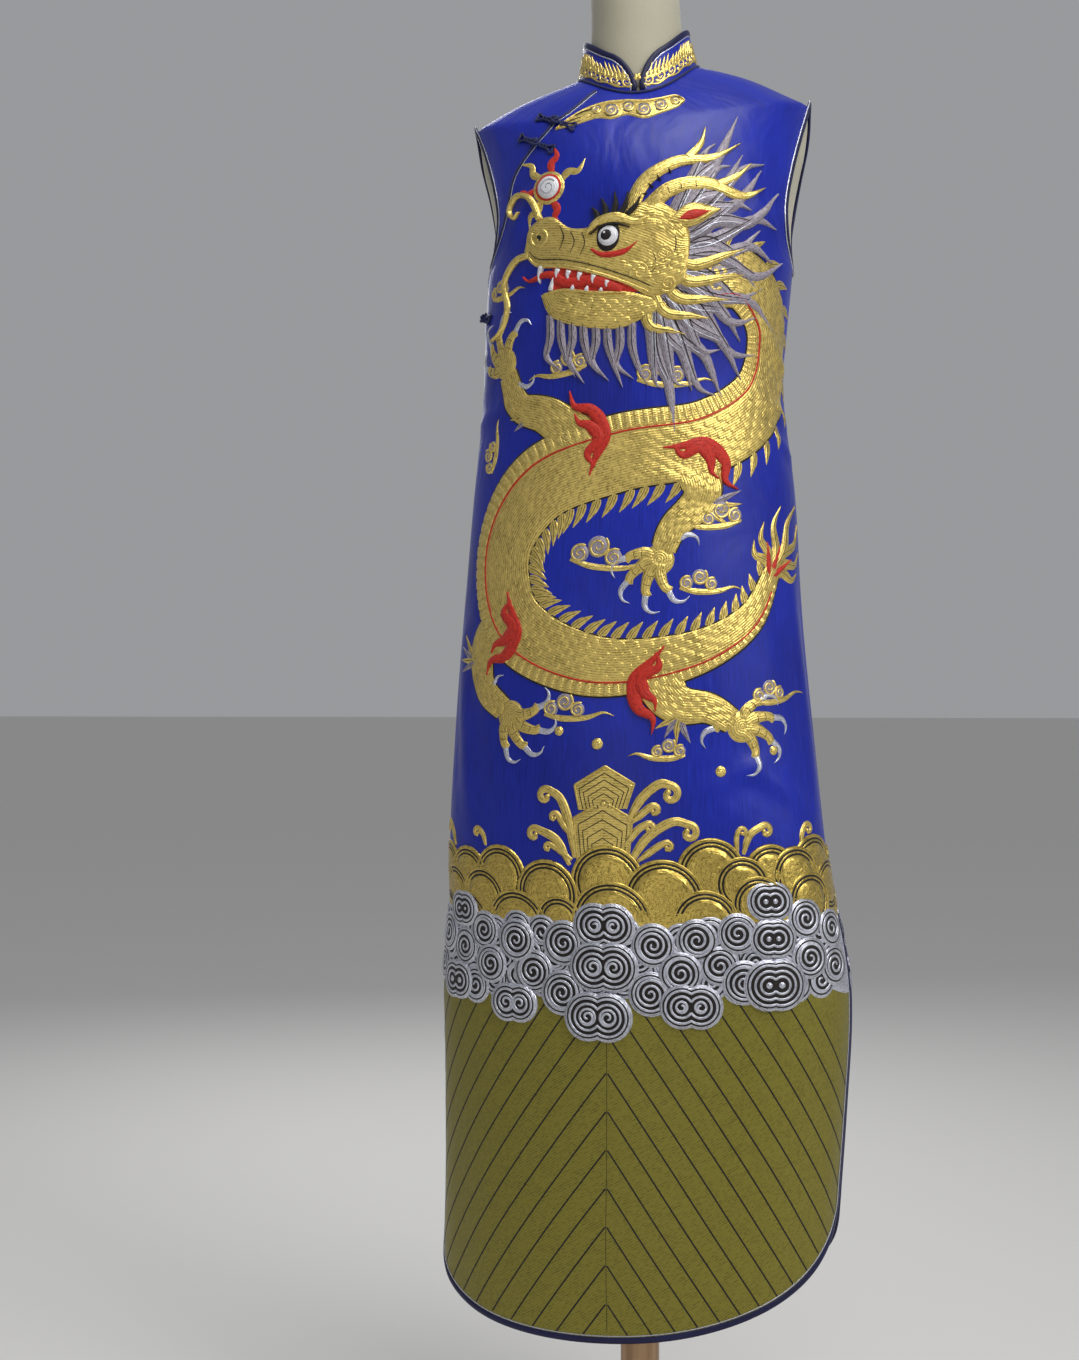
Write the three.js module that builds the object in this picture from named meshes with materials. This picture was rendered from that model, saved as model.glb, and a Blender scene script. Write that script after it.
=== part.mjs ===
// Long sleeveless cheongsam on a limbless dress form with a round-based stand.
// Millimetres, +Z up. The front faces -Y and the origin is on the floor under the pole.
import * as THREE from 'three';
import { mergeVertices } from 'three/addons/utils/BufferGeometryUtils.js';

const radians = Math.PI / 180;

// Driving dimensions
const clothThick = 1.5;
const seamTrim = 0.3;        // each panel stops this far short of a seam
const underarmHeight = 1356;
const hemHeight = 229;       // at the middle of each panel
const hemTilt = 28;          // the hem hangs higher on the right by this much at each seam
const hemSwing = 50;         // rise of the hem's long shallow curve at the seams
const hemCornerRise = 60;    // further rise round the corners beside the slits
const slitTopHeight = 668;
const slitSpread = 0.035;    // share of each panel's half width that the slit opens by at the hem
const collarHeight = 40;
const collarCornerRun = 30;  // length of the collar's rounded front corner
const collarThick = 1.8;
const collarLean = 0.12;     // share by which the collar closes in towards its top
const bindingWide = 6;
const pipingWide = 2.6;
const trimLift = 0.6;        // trim stands this far off the cloth that it lies on
const hemTrimLift = 1.1;     // more where the slits flare
const bindingThick = 1.0;
const pipingThick = 0.9;
const frogHalfLength = 22;
const sideFrogHalfLength = 17;
const frogLift = 0.35;
const knotLift = 1.9;        // the knots of the slanting opening lie over its piping
const frogRadius = 2.6;
const frogKnotRadius = 4.6;
const neckTopHeight = 1702;
const torsoBottomHeight = 882;
const poleRadius = 21;
const baseRadius = 190;
const baseThick = 26;

// How the dress hangs: the skirt is turned on the form, and the right shoulder sits higher
const skirtTurn = -12 * radians;
const turnStarts = 1240;
const turnEnds = 520;
const shoulderTilt = 0.052;
const tiltStarts = 1290;
const tiltEnds = 1520;
const neckTilt = 0.045;      // added to the shoulders' tilt above them
const neckTiltStarts = 1530;
const neckTiltEnds = 1580;

// How far the whole leans sideways, by height
const swayRows = [
  { height: 220, shift: -4 },
  { height: 330, shift: -3 },
  { height: 420, shift: 0 },
  { height: 550, shift: 3 },
  { height: 650, shift: 1 },
  { height: 740, shift: -6 },
  { height: 850, shift: -8.5 },
  { height: 960, shift: -9.5 },
  { height: 1120, shift: -7 },
  { height: 1230, shift: -8 },
  { height: 1290, shift: -5 },
  { height: 1340, shift: -1 },
  { height: 1400, shift: 3 },
  { height: 1500, shift: 3.5 },
  { height: 1560, shift: -1 },
  { height: 1620, shift: -4 },
  { height: 1710, shift: -7 },
];

// Half width and the front and back depths of the cloth, from the hem to the underarm
const skirtRows = [
  { height: 185, wide: 221, front: 112, back: 108 },
  { height: 340, wide: 218, front: 112, back: 108 },
  { height: 460, wide: 222, front: 113, back: 110 },
  { height: 590, wide: 225, front: 115, back: 113 },
  { height: 685, wide: 212, front: 116, back: 115 },
  { height: 784, wide: 203, front: 117, back: 118 },
  { height: 893, wide: 193, front: 117, back: 120 },
  { height: 1002, wide: 183, front: 114, back: 120 },
  { height: 1111, wide: 175, front: 108, back: 110 },
  { height: 1225, wide: 163, front: 106, back: 99 },
  { height: 1300, wide: 164, front: 114, back: 100 },
  { height: 1356, wide: 165, front: 120, back: 104 },
];

// Rows of the upper front from the underarm to the neckline. Each runs from the centre to the
// armhole or shoulder edge, and opening is the share of the row at which the slanting opening lies.
const frontRows = [
  { centre: 1356, deep: 120, edge: 1356, wide: 165, reach: 0, wrap: 90, opening: 0.975 },
  { centre: 1384, deep: 121, edge: 1390, wide: 156, reach: -43, wrap: 75, opening: 0.905 },
  { centre: 1411, deep: 120, edge: 1418, wide: 155, reach: -45, wrap: 72, opening: 0.84 },
  { centre: 1441, deep: 116, edge: 1452, wide: 161, reach: -37, wrap: 72, opening: 0.735 },
  { centre: 1472, deep: 106, edge: 1490, wide: 171, reach: -20, wrap: 75, opening: 0.53 },
  { centre: 1500, deep: 92, edge: 1525, wide: 182, reach: 0, wrap: 80, opening: 0.37 },
  { centre: 1519, deep: 79, edge: 1553, wide: 124, reach: 0, wrap: 85, opening: 0.35 },
  { centre: 1536, deep: 66, edge: 1573, wide: 64, reach: 0, wrap: 90, opening: 0.4 },
];
const backRows = [
  { centre: 1356, deep: 104, edge: 1356, wide: 165, reach: 0, wrap: 90 },
  { centre: 1386, deep: 107, edge: 1390, wide: 162, reach: -24, wrap: 80 },
  { centre: 1416, deep: 109, edge: 1418, wide: 165, reach: -31, wrap: 78 },
  { centre: 1450, deep: 108, edge: 1452, wide: 171, reach: -29, wrap: 78 },
  { centre: 1488, deep: 102, edge: 1490, wide: 179, reach: -16, wrap: 80 },
  { centre: 1520, deep: 90, edge: 1525, wide: 182, reach: 0, wrap: 84 },
  { centre: 1548, deep: 74, edge: 1553, wide: 124, reach: 0, wrap: 87 },
  { centre: 1570, deep: 59, edge: 1573, wide: 64, reach: 0, wrap: 90 },
];
const tipLevel = 5;          // index of the shoulder tip's row
const neckLevel = 7;         // index of the neckline's row

// Soft folds of the skirt: place across the panel, top, half width and depth
const skirtFolds = [
  { side: 'front', across: 0.72, top: 640, half: 0.13, deep: -5 },
  { side: 'front', across: -0.66, top: 600, half: 0.14, deep: -4 },
  { side: 'front', across: 0.22, top: 520, half: 0.2, deep: 3 },
  { side: 'back', across: 0.5, top: 820, half: 0.16, deep: -7 },
  { side: 'back', across: -0.1, top: 900, half: 0.14, deep: -6 },
  { side: 'back', across: -0.62, top: 780, half: 0.15, deep: -7 },
];

// Ease between the cloth's inner face and the form, by level and by height
const formEaseRows = [
  { height: 870, ease: 9 },
  { height: 1002, ease: 4 },
  { height: 1111, ease: 5 },
  { height: 1225, ease: 8 },
  { height: 1356, ease: 3 },
];
const formUpperEase = [3, 2.4, 2, 1.6, 1.2, 0.5, 0.5, 1.0];
const formArmBulge = 5;      // how far the form's arm plates stand out between the armhole edges
// Rings of the form's neck; dip is how much lower a ring runs at its front
const neckRows = [
  { height: 1580, dip: 34, wide: 57, front: 57, back: 52 },
  { height: 1597, dip: 20, wide: 52, front: 53.5, back: 48.5 },
  { height: 1620, dip: 8, wide: 49, front: 51.5, back: 46 },
  { height: 1650, dip: 2, wide: 48, front: 51.5, back: 44 },
  { height: 1692, dip: 0, wide: 47.5, front: 52.5, back: 42 },
  { height: 1699, dip: 0, wide: 44.5, front: 49, back: 38.5 },
  { height: neckTopHeight, dip: 0, wide: 36, front: 41, back: 30 },
];

// Materials
const satin = new THREE.MeshStandardMaterial({ color: 0x1c2a9c, roughness: 0.42, metalness: 0.0 });
const binding = new THREE.MeshStandardMaterial({ color: 0x14195a, roughness: 0.5, metalness: 0.0 });
const cord = new THREE.MeshStandardMaterial({ color: 0x0b1030, roughness: 0.55, metalness: 0.0 });
const formCloth = new THREE.MeshStandardMaterial({ color: 0xd9d3bd, roughness: 0.85, metalness: 0.0 });
const wood = new THREE.MeshStandardMaterial({ color: 0xb98a5a, roughness: 0.5, metalness: 0.0 });

function smoothStep(from, to, value) {
  const share = Math.min(1, Math.max(0, (value - from) / (to - from)));
  return share * share * (3 - 2 * share);
}

// Cubic curve through the rows' values, with slopes from the neighbours on each side
function rowValue(rows, key, column, at) {
  const last = rows.length - 1;
  let index = 0;
  while (index < last - 1 && at > rows[index + 1][key]) index += 1;
  const slope = (place) => {
    const before = rows[Math.max(0, place - 1)];
    const after = rows[Math.min(last, place + 1)];
    return (after[column] - before[column]) / (after[key] - before[key]);
  };
  const low = rows[index];
  const high = rows[index + 1];
  const span = high[key] - low[key];
  const share = Math.min(1, Math.max(0, (at - low[key]) / span));
  const square = share * share;
  const cube = square * share;
  return low[column] * (2 * cube - 3 * square + 1) + high[column] * (3 * square - 2 * cube)
    + span * (slope(index) * (cube - 2 * square + share) + slope(index + 1) * (cube - square));
}

const numberRows = (rows) => rows.map((row, step) => ({ ...row, step }));
const upperRows = { front: numberRows(frontRows), back: numberRows(backRows) };
const armholeRows = {
  front: upperRows.front.slice(0, tipLevel + 1), back: upperRows.back.slice(0, tipLevel + 1),
};
const shoulderRows = { front: upperRows.front.slice(tipLevel), back: upperRows.back.slice(tipLevel) };

// The armhole edge and the shoulder seam meet in a corner at the shoulder tip
function edgeValue(side, column, level) {
  const rows = level <= tipLevel ? armholeRows[side] : shoulderRows[side];
  return rowValue(rows, 'step', column, level);
}

// Height of the hem at a share of the half width: a long shallow curve, then up round the corner
function hemLine(share) {
  const square = Math.min(1, share * share);
  return hemHeight + hemTilt * share + hemSwing * square + hemCornerRise * (1 - Math.sqrt(1 - square));
}

function foldDepth(side, share, height) {
  return skirtFolds.filter((fold) => fold.side === side).reduce((sum, fold) => {
    const off = (share - fold.across) / fold.half;
    const fade = 1 - smoothStep(fold.top - 260, fold.top, height);
    return sum + fold.deep * fade * Math.exp(-off * off);
  }, 0);
}

// A point of the cloth before it is turned and tilted. Level runs from -1 at the hem to 0 at the
// underarm and on to neckLevel at the neckline; share runs from -1 to 1 across the panel.
function plainPoint(side, share, level) {
  const facing = side === 'front' ? -1 : 1;
  if (level <= 0) {
    const height = hemLine(share) + (underarmHeight - hemLine(share)) * (1 + level);
    const slit = slitSpread * Math.max(0, slitTopHeight - height) / (slitTopHeight - hemHeight);
    const angle = share * (1 - slit) * 90 * radians;
    const wide = rowValue(skirtRows, 'height', 'wide', height);
    const deep = rowValue(skirtRows, 'height', side, height) + foldDepth(side, share, height);
    return new THREE.Vector3(wide * Math.sin(angle), facing * deep * Math.cos(angle), height);
  }
  const rows = upperRows[side];
  const wrap = edgeValue(side, 'wrap', level) * radians;
  const angle = share * wrap;
  const rise = Math.sin(share * 90 * radians) ** 2;
  const centre = rowValue(rows, 'step', 'centre', level);
  const deep = rowValue(rows, 'step', 'deep', level);
  const edge = edgeValue(side, 'edge', level);
  const inner = (Math.cos(angle) - Math.cos(wrap)) / (1 - Math.cos(wrap));
  return new THREE.Vector3(
    edgeValue(side, 'wide', level) * Math.sin(angle) / Math.sin(wrap),
    facing * (deep * inner - edgeValue(side, 'reach', level) * (1 - inner)),
    centre + (edge - centre) * rise,
  );
}

// Turns the skirt, tilts the shoulders and sways the whole, for the cloth and the form alike
function hang(point) {
  const turn = skirtTurn * (1 - smoothStep(turnEnds, turnStarts, point.z));
  const turned = point.clone().applyAxisAngle(new THREE.Vector3(0, 0, 1), turn);
  turned.z += turned.x * (shoulderTilt * smoothStep(tiltStarts, tiltEnds, point.z)
    + neckTilt * smoothStep(neckTiltStarts, neckTiltEnds, point.z));
  turned.x += rowValue(swayRows, 'height', 'shift', point.z);
  return turned;
}

const clothPoint = (side, share, level) => hang(plainPoint(side, share, level));

// Outward normal from small steps along the surface, one-sided at its borders
function clothNormal(side, share, level) {
  const step = 0.004;
  const floor = level < 0 ? -1 : 0;
  const ceiling = level < 0 ? 0 : neckLevel;
  const lowLevel = Math.max(floor, level - step);
  const highLevel = Math.min(ceiling, level + step);
  const up = clothPoint(side, share, highLevel).sub(clothPoint(side, share, lowLevel));
  const along = clothPoint(side, Math.min(1, share + step), level)
    .sub(clothPoint(side, Math.max(-1, share - step), level));
  const normal = along.cross(up).normalize();
  return side === 'front' ? normal : normal.negate();
}

const offCloth = (side, share, level, out) => clothPoint(side, share, level)
  .addScaledVector(clothNormal(side, share, level), out);

// The share at which a panel stops short of its side or shoulder seam
function trimmedShare(side, level, trim) {
  const step = 0.01;
  const stretch = clothPoint(side, 1, level).distanceTo(clothPoint(side, 1 - step, level)) / step;
  return 1 - trim / stretch;
}

// Closed solid between an outer and an inner grid of points; a loop joins its last row to its first
function wallSolid(outer, inner, loop = false) {
  const rows = outer.length;
  const columns = outer[0].length;
  const positions = [...outer.flat(), ...inner.flat()].flatMap((point) => [point.x, point.y, point.z]);
  const at = (layer, row, column) => layer * rows * columns + (row % rows) * columns + column;
  const faces = [];
  const quad = (a, b, c, d) => faces.push(a, b, c, a, c, d);
  for (let row = 0; row < (loop ? rows : rows - 1); row += 1) {
    for (let column = 0; column < columns - 1; column += 1) {
      quad(at(0, row, column), at(0, row, column + 1), at(0, row + 1, column + 1), at(0, row + 1, column));
      quad(at(1, row, column), at(1, row + 1, column), at(1, row + 1, column + 1), at(1, row, column + 1));
    }
    quad(at(0, row, 0), at(0, row + 1, 0), at(1, row + 1, 0), at(1, row, 0));
    const end = columns - 1;
    quad(at(0, row, end), at(1, row, end), at(1, row + 1, end), at(0, row + 1, end));
  }
  if (!loop) {
    const end = rows - 1;
    for (let column = 0; column < columns - 1; column += 1) {
      quad(at(0, 0, column), at(1, 0, column), at(1, 0, column + 1), at(0, 0, column + 1));
      quad(at(0, end, column), at(0, end, column + 1), at(1, end, column + 1), at(1, end, column));
    }
  }
  return solidFrom(positions, faces);
}

// Indexed geometry whose faces point outwards
function solidFrom(positions, faces) {
  let volume = 0;
  for (let face = 0; face < faces.length; face += 3) {
    const [a, b, c] = faces.slice(face, face + 3)
      .map((index) => new THREE.Vector3().fromArray(positions, index * 3));
    volume += a.dot(b.cross(c));
  }
  const ordered = volume < 0 ? faces.slice().reverse() : faces;
  const geometry = new THREE.BufferGeometry();
  geometry.setAttribute('position', new THREE.Float32BufferAttribute(positions, 3));
  geometry.setIndex(ordered);
  return geometry;
}

function merged(geometry) {
  geometry.deleteAttribute('normal');
  geometry.deleteAttribute('uv');
  return mergeVertices(geometry, 0.001);
}

// Shares across a panel, closer together beside the slits
const halfColumns = 11;
function acrossShare(column) {
  const even = column / halfColumns;
  return 0.45 * even + 0.55 * Math.sin(even * 90 * radians);
}
const columnShares = Array.from({ length: 2 * halfColumns + 1 }, (_, index) => {
  const column = index - halfColumns;
  return Math.sign(column) * acrossShare(Math.abs(column));
});

const lowerRowCount = 24;
const lowerLevels = Array.from({ length: lowerRowCount }, (_, row) => -1 + row / lowerRowCount);
const upperLevels = Array.from({ length: 15 }, (_, row) => row / 2);

// A panel's wall: left and right give the share of each edge at a level
function panelSolid(side, levels, left, right, shares) {
  const layer = (out) => levels.map((level) => shares.map((share) => {
    const mix = (share - shares[0]) / (shares[shares.length - 1] - shares[0]);
    const place = left(level) + (right(level) - left(level)) * mix;
    return offCloth(side, place, level, out);
  }));
  return wallSolid(layer(0), layer(-clothThick));
}

const openingShare = (level) => -rowValue(upperRows.front, 'step', 'opening', level);
const seamEdge = (side) => (level) => trimmedShare(side, level, seamTrim);

function frontPanel() {
  const left = (level) => (level < 0 ? -seamEdge('front')(level) : openingShare(level));
  return panelSolid('front', [...lowerLevels, ...upperLevels], left, seamEdge('front'), columnShares);
}

function frontUnderlap() {
  const shares = Array.from({ length: 8 }, (_, index) => index / 7);
  const left = (level) => -seamEdge('front')(level);
  const right = (level) => openingShare(level) - (1 - trimmedShare('front', level, 2 * seamTrim));
  return panelSolid('front', upperLevels, left, right, shares);
}

function backPanel() {
  const right = seamEdge('back');
  return panelSolid('back', [...lowerLevels, ...upperLevels], (level) => -right(level), right, columnShares);
}

// Flat strip along an edge: each station has a place, a normal, and lies towards the given side
function edgeStrip(stations, { wide, thick, lift = trimLift, inset = 0, inward = 1, loop = false }) {
  const count = stations.length;
  const neighbour = (index) => {
    if (loop) return stations[(index + count) % count];
    return stations[Math.min(count - 1, Math.max(0, index))];
  };
  const layer = (out) => stations.map((station, index) => {
    const along = neighbour(index + 1).place.clone().sub(neighbour(index - 1).place).normalize();
    const across = station.normal.clone().cross(along).normalize().multiplyScalar(inward);
    return [inset, inset + wide].map((run) => station.place.clone()
      .addScaledVector(across, run).addScaledVector(station.normal, out));
  });
  return wallSolid(layer(lift + thick), layer(lift), loop);
}

const clothStation = (side, share, level) => ({
  place: clothPoint(side, share, level), normal: clothNormal(side, share, level),
});

function range(from, to, count) {
  return Array.from({ length: count }, (_, index) => from + (to - from) * index / (count - 1));
}

// Ring round an armhole: up the front edge, over the shoulder tip and down the back edge
function armholeBinding(sign) {
  const front = range(0.12, tipLevel - 0.12, 17).map((level) => clothStation('front', sign, level));
  const back = range(tipLevel - 0.12, 0.12, 17).map((level) => clothStation('back', sign, level));
  const tip = clothStation('front', sign, tipLevel);
  tip.normal = front[front.length - 1].normal.clone().add(back[0].normal).normalize();
  const foot = clothStation('front', sign, 0);
  foot.normal = new THREE.Vector3(sign, 0, 0);
  return edgeStrip([foot, ...front, tip, ...back], {
    wide: bindingWide, thick: bindingThick, inward: sign, loop: true,
  });
}

// Binding down one slit, along the hem and up the other slit
function hemBinding(side) {
  const height = (level) => hemLine(1) + (underarmHeight - hemLine(1)) * (1 + level);
  const slitLevels = lowerLevels.filter((level) => height(level) < slitTopHeight && level > -1);
  const hemShares = columnShares.flatMap((share, index) => (
    index ? [(share + columnShares[index - 1]) / 2, share] : [share]));
  const stations = [
    ...slitLevels.slice().reverse().map((level) => clothStation(side, -1, level)),
    ...hemShares.map((share) => clothStation(side, share, -1)),
    ...slitLevels.map((level) => clothStation(side, 1, level)),
  ];
  return edgeStrip(stations, {
    wide: bindingWide,
    thick: bindingThick,
    lift: hemTrimLift,
    inset: seamTrim,
    inward: side === 'front' ? 1 : -1,
  });
}

// Neckline at an angle from the centre front, and the collar that stands on it
function necklinePoint(angle) {
  const side = Math.cos(angle) >= 0 ? 'front' : 'back';
  const last = upperRows[side][neckLevel];
  const facing = side === 'front' ? -1 : 1;
  return new THREE.Vector3(last.wide * Math.sin(angle), facing * last.deep * Math.abs(Math.cos(angle)),
    last.centre + (last.edge - last.centre) * Math.sin(angle) ** 2);
}

function collarStation(angle, rise, inset) {
  const base = necklinePoint(angle);
  const shrink = 1 - collarLean * rise / collarHeight;
  const outward = new THREE.Vector3(base.x, base.y, 0).normalize();
  const place = new THREE.Vector3(base.x * shrink, base.y * shrink, base.z + 0.4 + rise)
    .addScaledVector(outward, -inset);
  const lean = collarLean * Math.hypot(base.x, base.y) / collarHeight;
  return { place: hang(place), normal: outward.clone().setZ(lean).normalize() };
}

// Angles round the collar with the height of its top edge, rounded at the two front ends
const collarColumns = (() => {
  const radius = upperRows.front[neckLevel].wide;
  const corner = range(14, 90, 7).map((turn) => ({
    angle: (1.2 + collarCornerRun * (1 - Math.cos(turn * radians))) / radius,
    top: collarHeight * Math.sin(turn * radians),
  }));
  const lastAngle = corner[corner.length - 1].angle;
  const middle = range(lastAngle, 2 * Math.PI - lastAngle, 25).slice(1, -1)
    .map((angle) => ({ angle, top: collarHeight }));
  const far = corner.slice().reverse().map(({ angle, top }) => ({ angle: 2 * Math.PI - angle, top }));
  return [...corner, ...middle, ...far];
})();

function collarSolid() {
  const layer = (inset) => collarColumns.map(({ angle, top }) => range(0, 1, 4)
    .map((share) => collarStation(angle, top * share, inset).place));
  return wallSolid(layer(0), layer(collarThick));
}

function collarBinding() {
  const stations = collarColumns.map(({ angle, top }) => collarStation(angle, top, 0));
  const foot = ({ angle }) => collarStation(angle, 2, 0);
  const ends = [foot(collarColumns[0]), foot(collarColumns[collarColumns.length - 1])];
  return edgeStrip([ends[0], ...stations, ends[1]], {
    wide: bindingWide - 1, thick: bindingThick - 0.2, lift: trimLift + 0.2, inset: 0.4, inward: -1,
  });
}

function necklinePiping() {
  const shares = range(-1, 1, 21);
  const stations = [
    ...shares.map((share) => clothStation('front', share, neckLevel)),
    ...shares.slice(1, -1).reverse().map((share) => clothStation('back', share, neckLevel)),
  ];
  return edgeStrip(stations, {
    wide: pipingWide, thick: pipingThick, inset: 0.7, inward: -1, loop: true,
  });
}

function placketPiping() {
  const stations = range(0.7, neckLevel - 0.32, 22)
    .map((level) => clothStation('front', openingShare(level), level));
  return edgeStrip(stations, { wide: pipingWide, thick: pipingThick, inward: -1 });
}

// A point of a frog's cord: run along the bar, which slopes down to the right of the picture
function frogPoint(frog, run, out) {
  const step = 0.01;
  const { share, level, slope } = frog;
  const centre = clothPoint('front', share, level);
  const acrossStretch = clothPoint('front', share + step, level).distanceTo(centre) / step;
  const upStretch = clothPoint('front', share, level - step).distanceTo(centre) / step;
  return offCloth('front', share + run * Math.cos(slope) / acrossStretch,
    level - run * Math.sin(slope) / upStretch, out);
}

function cordSolid(points, radius) {
  const section = new THREE.Shape();
  section.absarc(0, 0, radius, 0, 2 * Math.PI, false);
  return merged(new THREE.ExtrudeGeometry(section, {
    steps: 6, curveSegments: 4, bevelEnabled: false, extrudePath: new THREE.CatmullRomCurve3(points),
  }));
}

function frogPieces(frog) {
  const start = frogKnotRadius + 1.6;
  const bar = (sign) => cordSolid(range(start, frog.half, 4)
    .map((run) => frogPoint(frog, sign * run, frogRadius + frogLift)), frogRadius);
  const knot = merged(new THREE.SphereGeometry(frogKnotRadius, 10, 7));
  const centre = frogPoint(frog, 0, frogKnotRadius + frog.knotLift);
  knot.translate(centre.x, centre.y, centre.z);
  return { loop: bar(-1), knot, tail: bar(1) };
}

// The form: the cloth's own rows, drawn in by the ease, with arm plates, a neck and flat ends
function formRing(levelOf, ease) {
  const inwards = (side, share) => offCloth(side, share, levelOf(share), -clothThick - ease);
  const front = range(-1, 1, 15).map((share) => inwards('front', share));
  const back = range(1, -1, 15).map((share) => inwards('back', share));
  const plate = (from, to, sign) => {
    const gap = from.distanceTo(to);
    return range(0, 1, 5).slice(1, -1).map((share) => from.clone().lerp(to, share)
      .add(new THREE.Vector3(sign * formArmBulge * Math.sin(share * Math.PI) * Math.min(1, gap / 50), 0, 0)));
  };
  return [...front, ...plate(front[14], back[0], 1), ...back, ...plate(back[14], front[0], -1)];
}

function formTorso() {
  const levelAt = (height) => (share) => (
    (height - hemLine(share)) / (underarmHeight - hemLine(share)) - 1);
  const lower = range(torsoBottomHeight, underarmHeight - 30, 10).map((height) => (
    formRing(levelAt(height), rowValue(formEaseRows, 'height', 'ease', height))));
  lower[0].forEach((point) => point.setZ(torsoBottomHeight));
  const easeRows = formUpperEase.map((ease, step) => ({ ease, step }));
  const upper = upperLevels.map((level) => (
    formRing(() => level, rowValue(easeRows, 'step', 'ease', level))));
  const halfTurn = range(-87, 87, 15);
  const neckAngles = [...halfTurn, 88.5, 90, 91.5, ...halfTurn.map((angle) => angle + 180), 268.5, 270, 271.5]
    .map((angle) => angle * radians);
  const neck = neckRows.map(({ height, dip, wide, front, back }) => neckAngles.map((angle) => {
    const forward = Math.max(0, Math.cos(angle));
    return hang(new THREE.Vector3(wide * Math.sin(angle),
      -(Math.cos(angle) > 0 ? front : back) * Math.cos(angle), height - dip * forward * forward));
  }));
  return ringSolid([...lower, ...upper, ...neck]);
}

// Closed solid through rings of equal count, capped by a fan at each end
function ringSolid(rings) {
  const count = rings[0].length;
  const middle = (ring) => ring.reduce((sum, point) => sum.add(point), new THREE.Vector3())
    .divideScalar(ring.length);
  const points = [...rings.flat(), middle(rings[0]), middle(rings[rings.length - 1])];
  const faces = [];
  for (let row = 0; row < rings.length - 1; row += 1) {
    for (let index = 0; index < count; index += 1) {
      const next = (index + 1) % count;
      const low = row * count;
      const high = low + count;
      faces.push(low + index, low + next, high + next, low + index, high + next, high + index);
    }
  }
  const top = (rings.length - 1) * count;
  const centres = rings.length * count;
  for (let index = 0; index < count; index += 1) {
    const next = (index + 1) % count;
    faces.push(centres, next, index, centres + 1, top + index, top + next);
  }
  return solidFrom(points.flatMap((point) => [point.x, point.y, point.z]), faces);
}

function turned(profile, segments) {
  const geometry = merged(new THREE.LatheGeometry(profile.map(([x, y]) => new THREE.Vector2(x, y)), segments));
  geometry.rotateX(Math.PI / 2);
  return geometry;
}

const model = new THREE.Group();
function addPiece(name, geometry, material) {
  const mesh = new THREE.Mesh(geometry, material);
  mesh.name = name;
  model.add(mesh);
}

addPiece('front_panel', frontPanel(), satin);
addPiece('front_underlap', frontUnderlap(), satin);
addPiece('back_panel', backPanel(), satin);
addPiece('collar', collarSolid(), satin);
addPiece('collar_binding', collarBinding(), binding);
addPiece('neckline_piping', necklinePiping(), cord);
addPiece('placket_piping', placketPiping(), cord);
addPiece('armhole_binding_left', armholeBinding(-1), binding);
addPiece('armhole_binding_right', armholeBinding(1), binding);
addPiece('hem_binding_front', hemBinding('front'), binding);
addPiece('hem_binding_back', hemBinding('back'), binding);

const frogs = [
  { share: -0.362, level: 4.98, slope: 21 * radians, half: frogHalfLength, knotLift },
  { share: -0.505, level: 4.12, slope: 31 * radians, half: frogHalfLength, knotLift },
  { share: -0.885, level: -0.045, slope: 12 * radians, half: sideFrogHalfLength, knotLift: frogLift },
];
frogs.forEach((frog, index) => {
  Object.entries(frogPieces(frog)).forEach(([part, geometry]) => {
    addPiece(`frog_${index + 1}_${part}`, geometry, cord);
  });
});

addPiece('form_torso', formTorso(), formCloth);
addPiece('stand_pole', turned([
  [0, baseThick + seamTrim], [poleRadius, baseThick + seamTrim],
  [poleRadius, torsoBottomHeight - seamTrim], [0, torsoBottomHeight - seamTrim],
], 24), wood);
addPiece('stand_base', turned([
  [0, 0], [baseRadius - 2, 0], [baseRadius, 3], [baseRadius, baseThick - 8],
  [baseRadius - 8, baseThick], [0, baseThick],
], 40), wood);

export default model;
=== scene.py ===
import math

import bpy
import numpy as np
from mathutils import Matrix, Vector


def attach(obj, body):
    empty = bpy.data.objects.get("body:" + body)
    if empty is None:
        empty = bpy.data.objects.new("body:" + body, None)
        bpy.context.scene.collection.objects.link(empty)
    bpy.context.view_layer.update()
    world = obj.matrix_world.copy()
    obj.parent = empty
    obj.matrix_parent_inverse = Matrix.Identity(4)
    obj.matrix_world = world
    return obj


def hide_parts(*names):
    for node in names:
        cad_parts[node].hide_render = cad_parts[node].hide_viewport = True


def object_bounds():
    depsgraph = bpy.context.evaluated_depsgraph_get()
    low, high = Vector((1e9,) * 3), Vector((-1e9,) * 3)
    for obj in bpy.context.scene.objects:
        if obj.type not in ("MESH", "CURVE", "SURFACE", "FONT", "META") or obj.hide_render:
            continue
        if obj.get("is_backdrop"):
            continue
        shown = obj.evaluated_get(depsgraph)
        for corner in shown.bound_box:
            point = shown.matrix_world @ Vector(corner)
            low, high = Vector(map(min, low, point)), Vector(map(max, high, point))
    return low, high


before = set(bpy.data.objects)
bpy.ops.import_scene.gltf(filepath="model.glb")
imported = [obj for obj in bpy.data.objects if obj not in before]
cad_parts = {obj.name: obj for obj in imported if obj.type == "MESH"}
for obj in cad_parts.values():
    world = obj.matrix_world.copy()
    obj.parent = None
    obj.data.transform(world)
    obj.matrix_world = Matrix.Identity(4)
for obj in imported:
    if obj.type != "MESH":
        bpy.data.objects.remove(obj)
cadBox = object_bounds()
print("frame loaded:", len(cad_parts), "nodes")

# Camera, lights and floor

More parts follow.
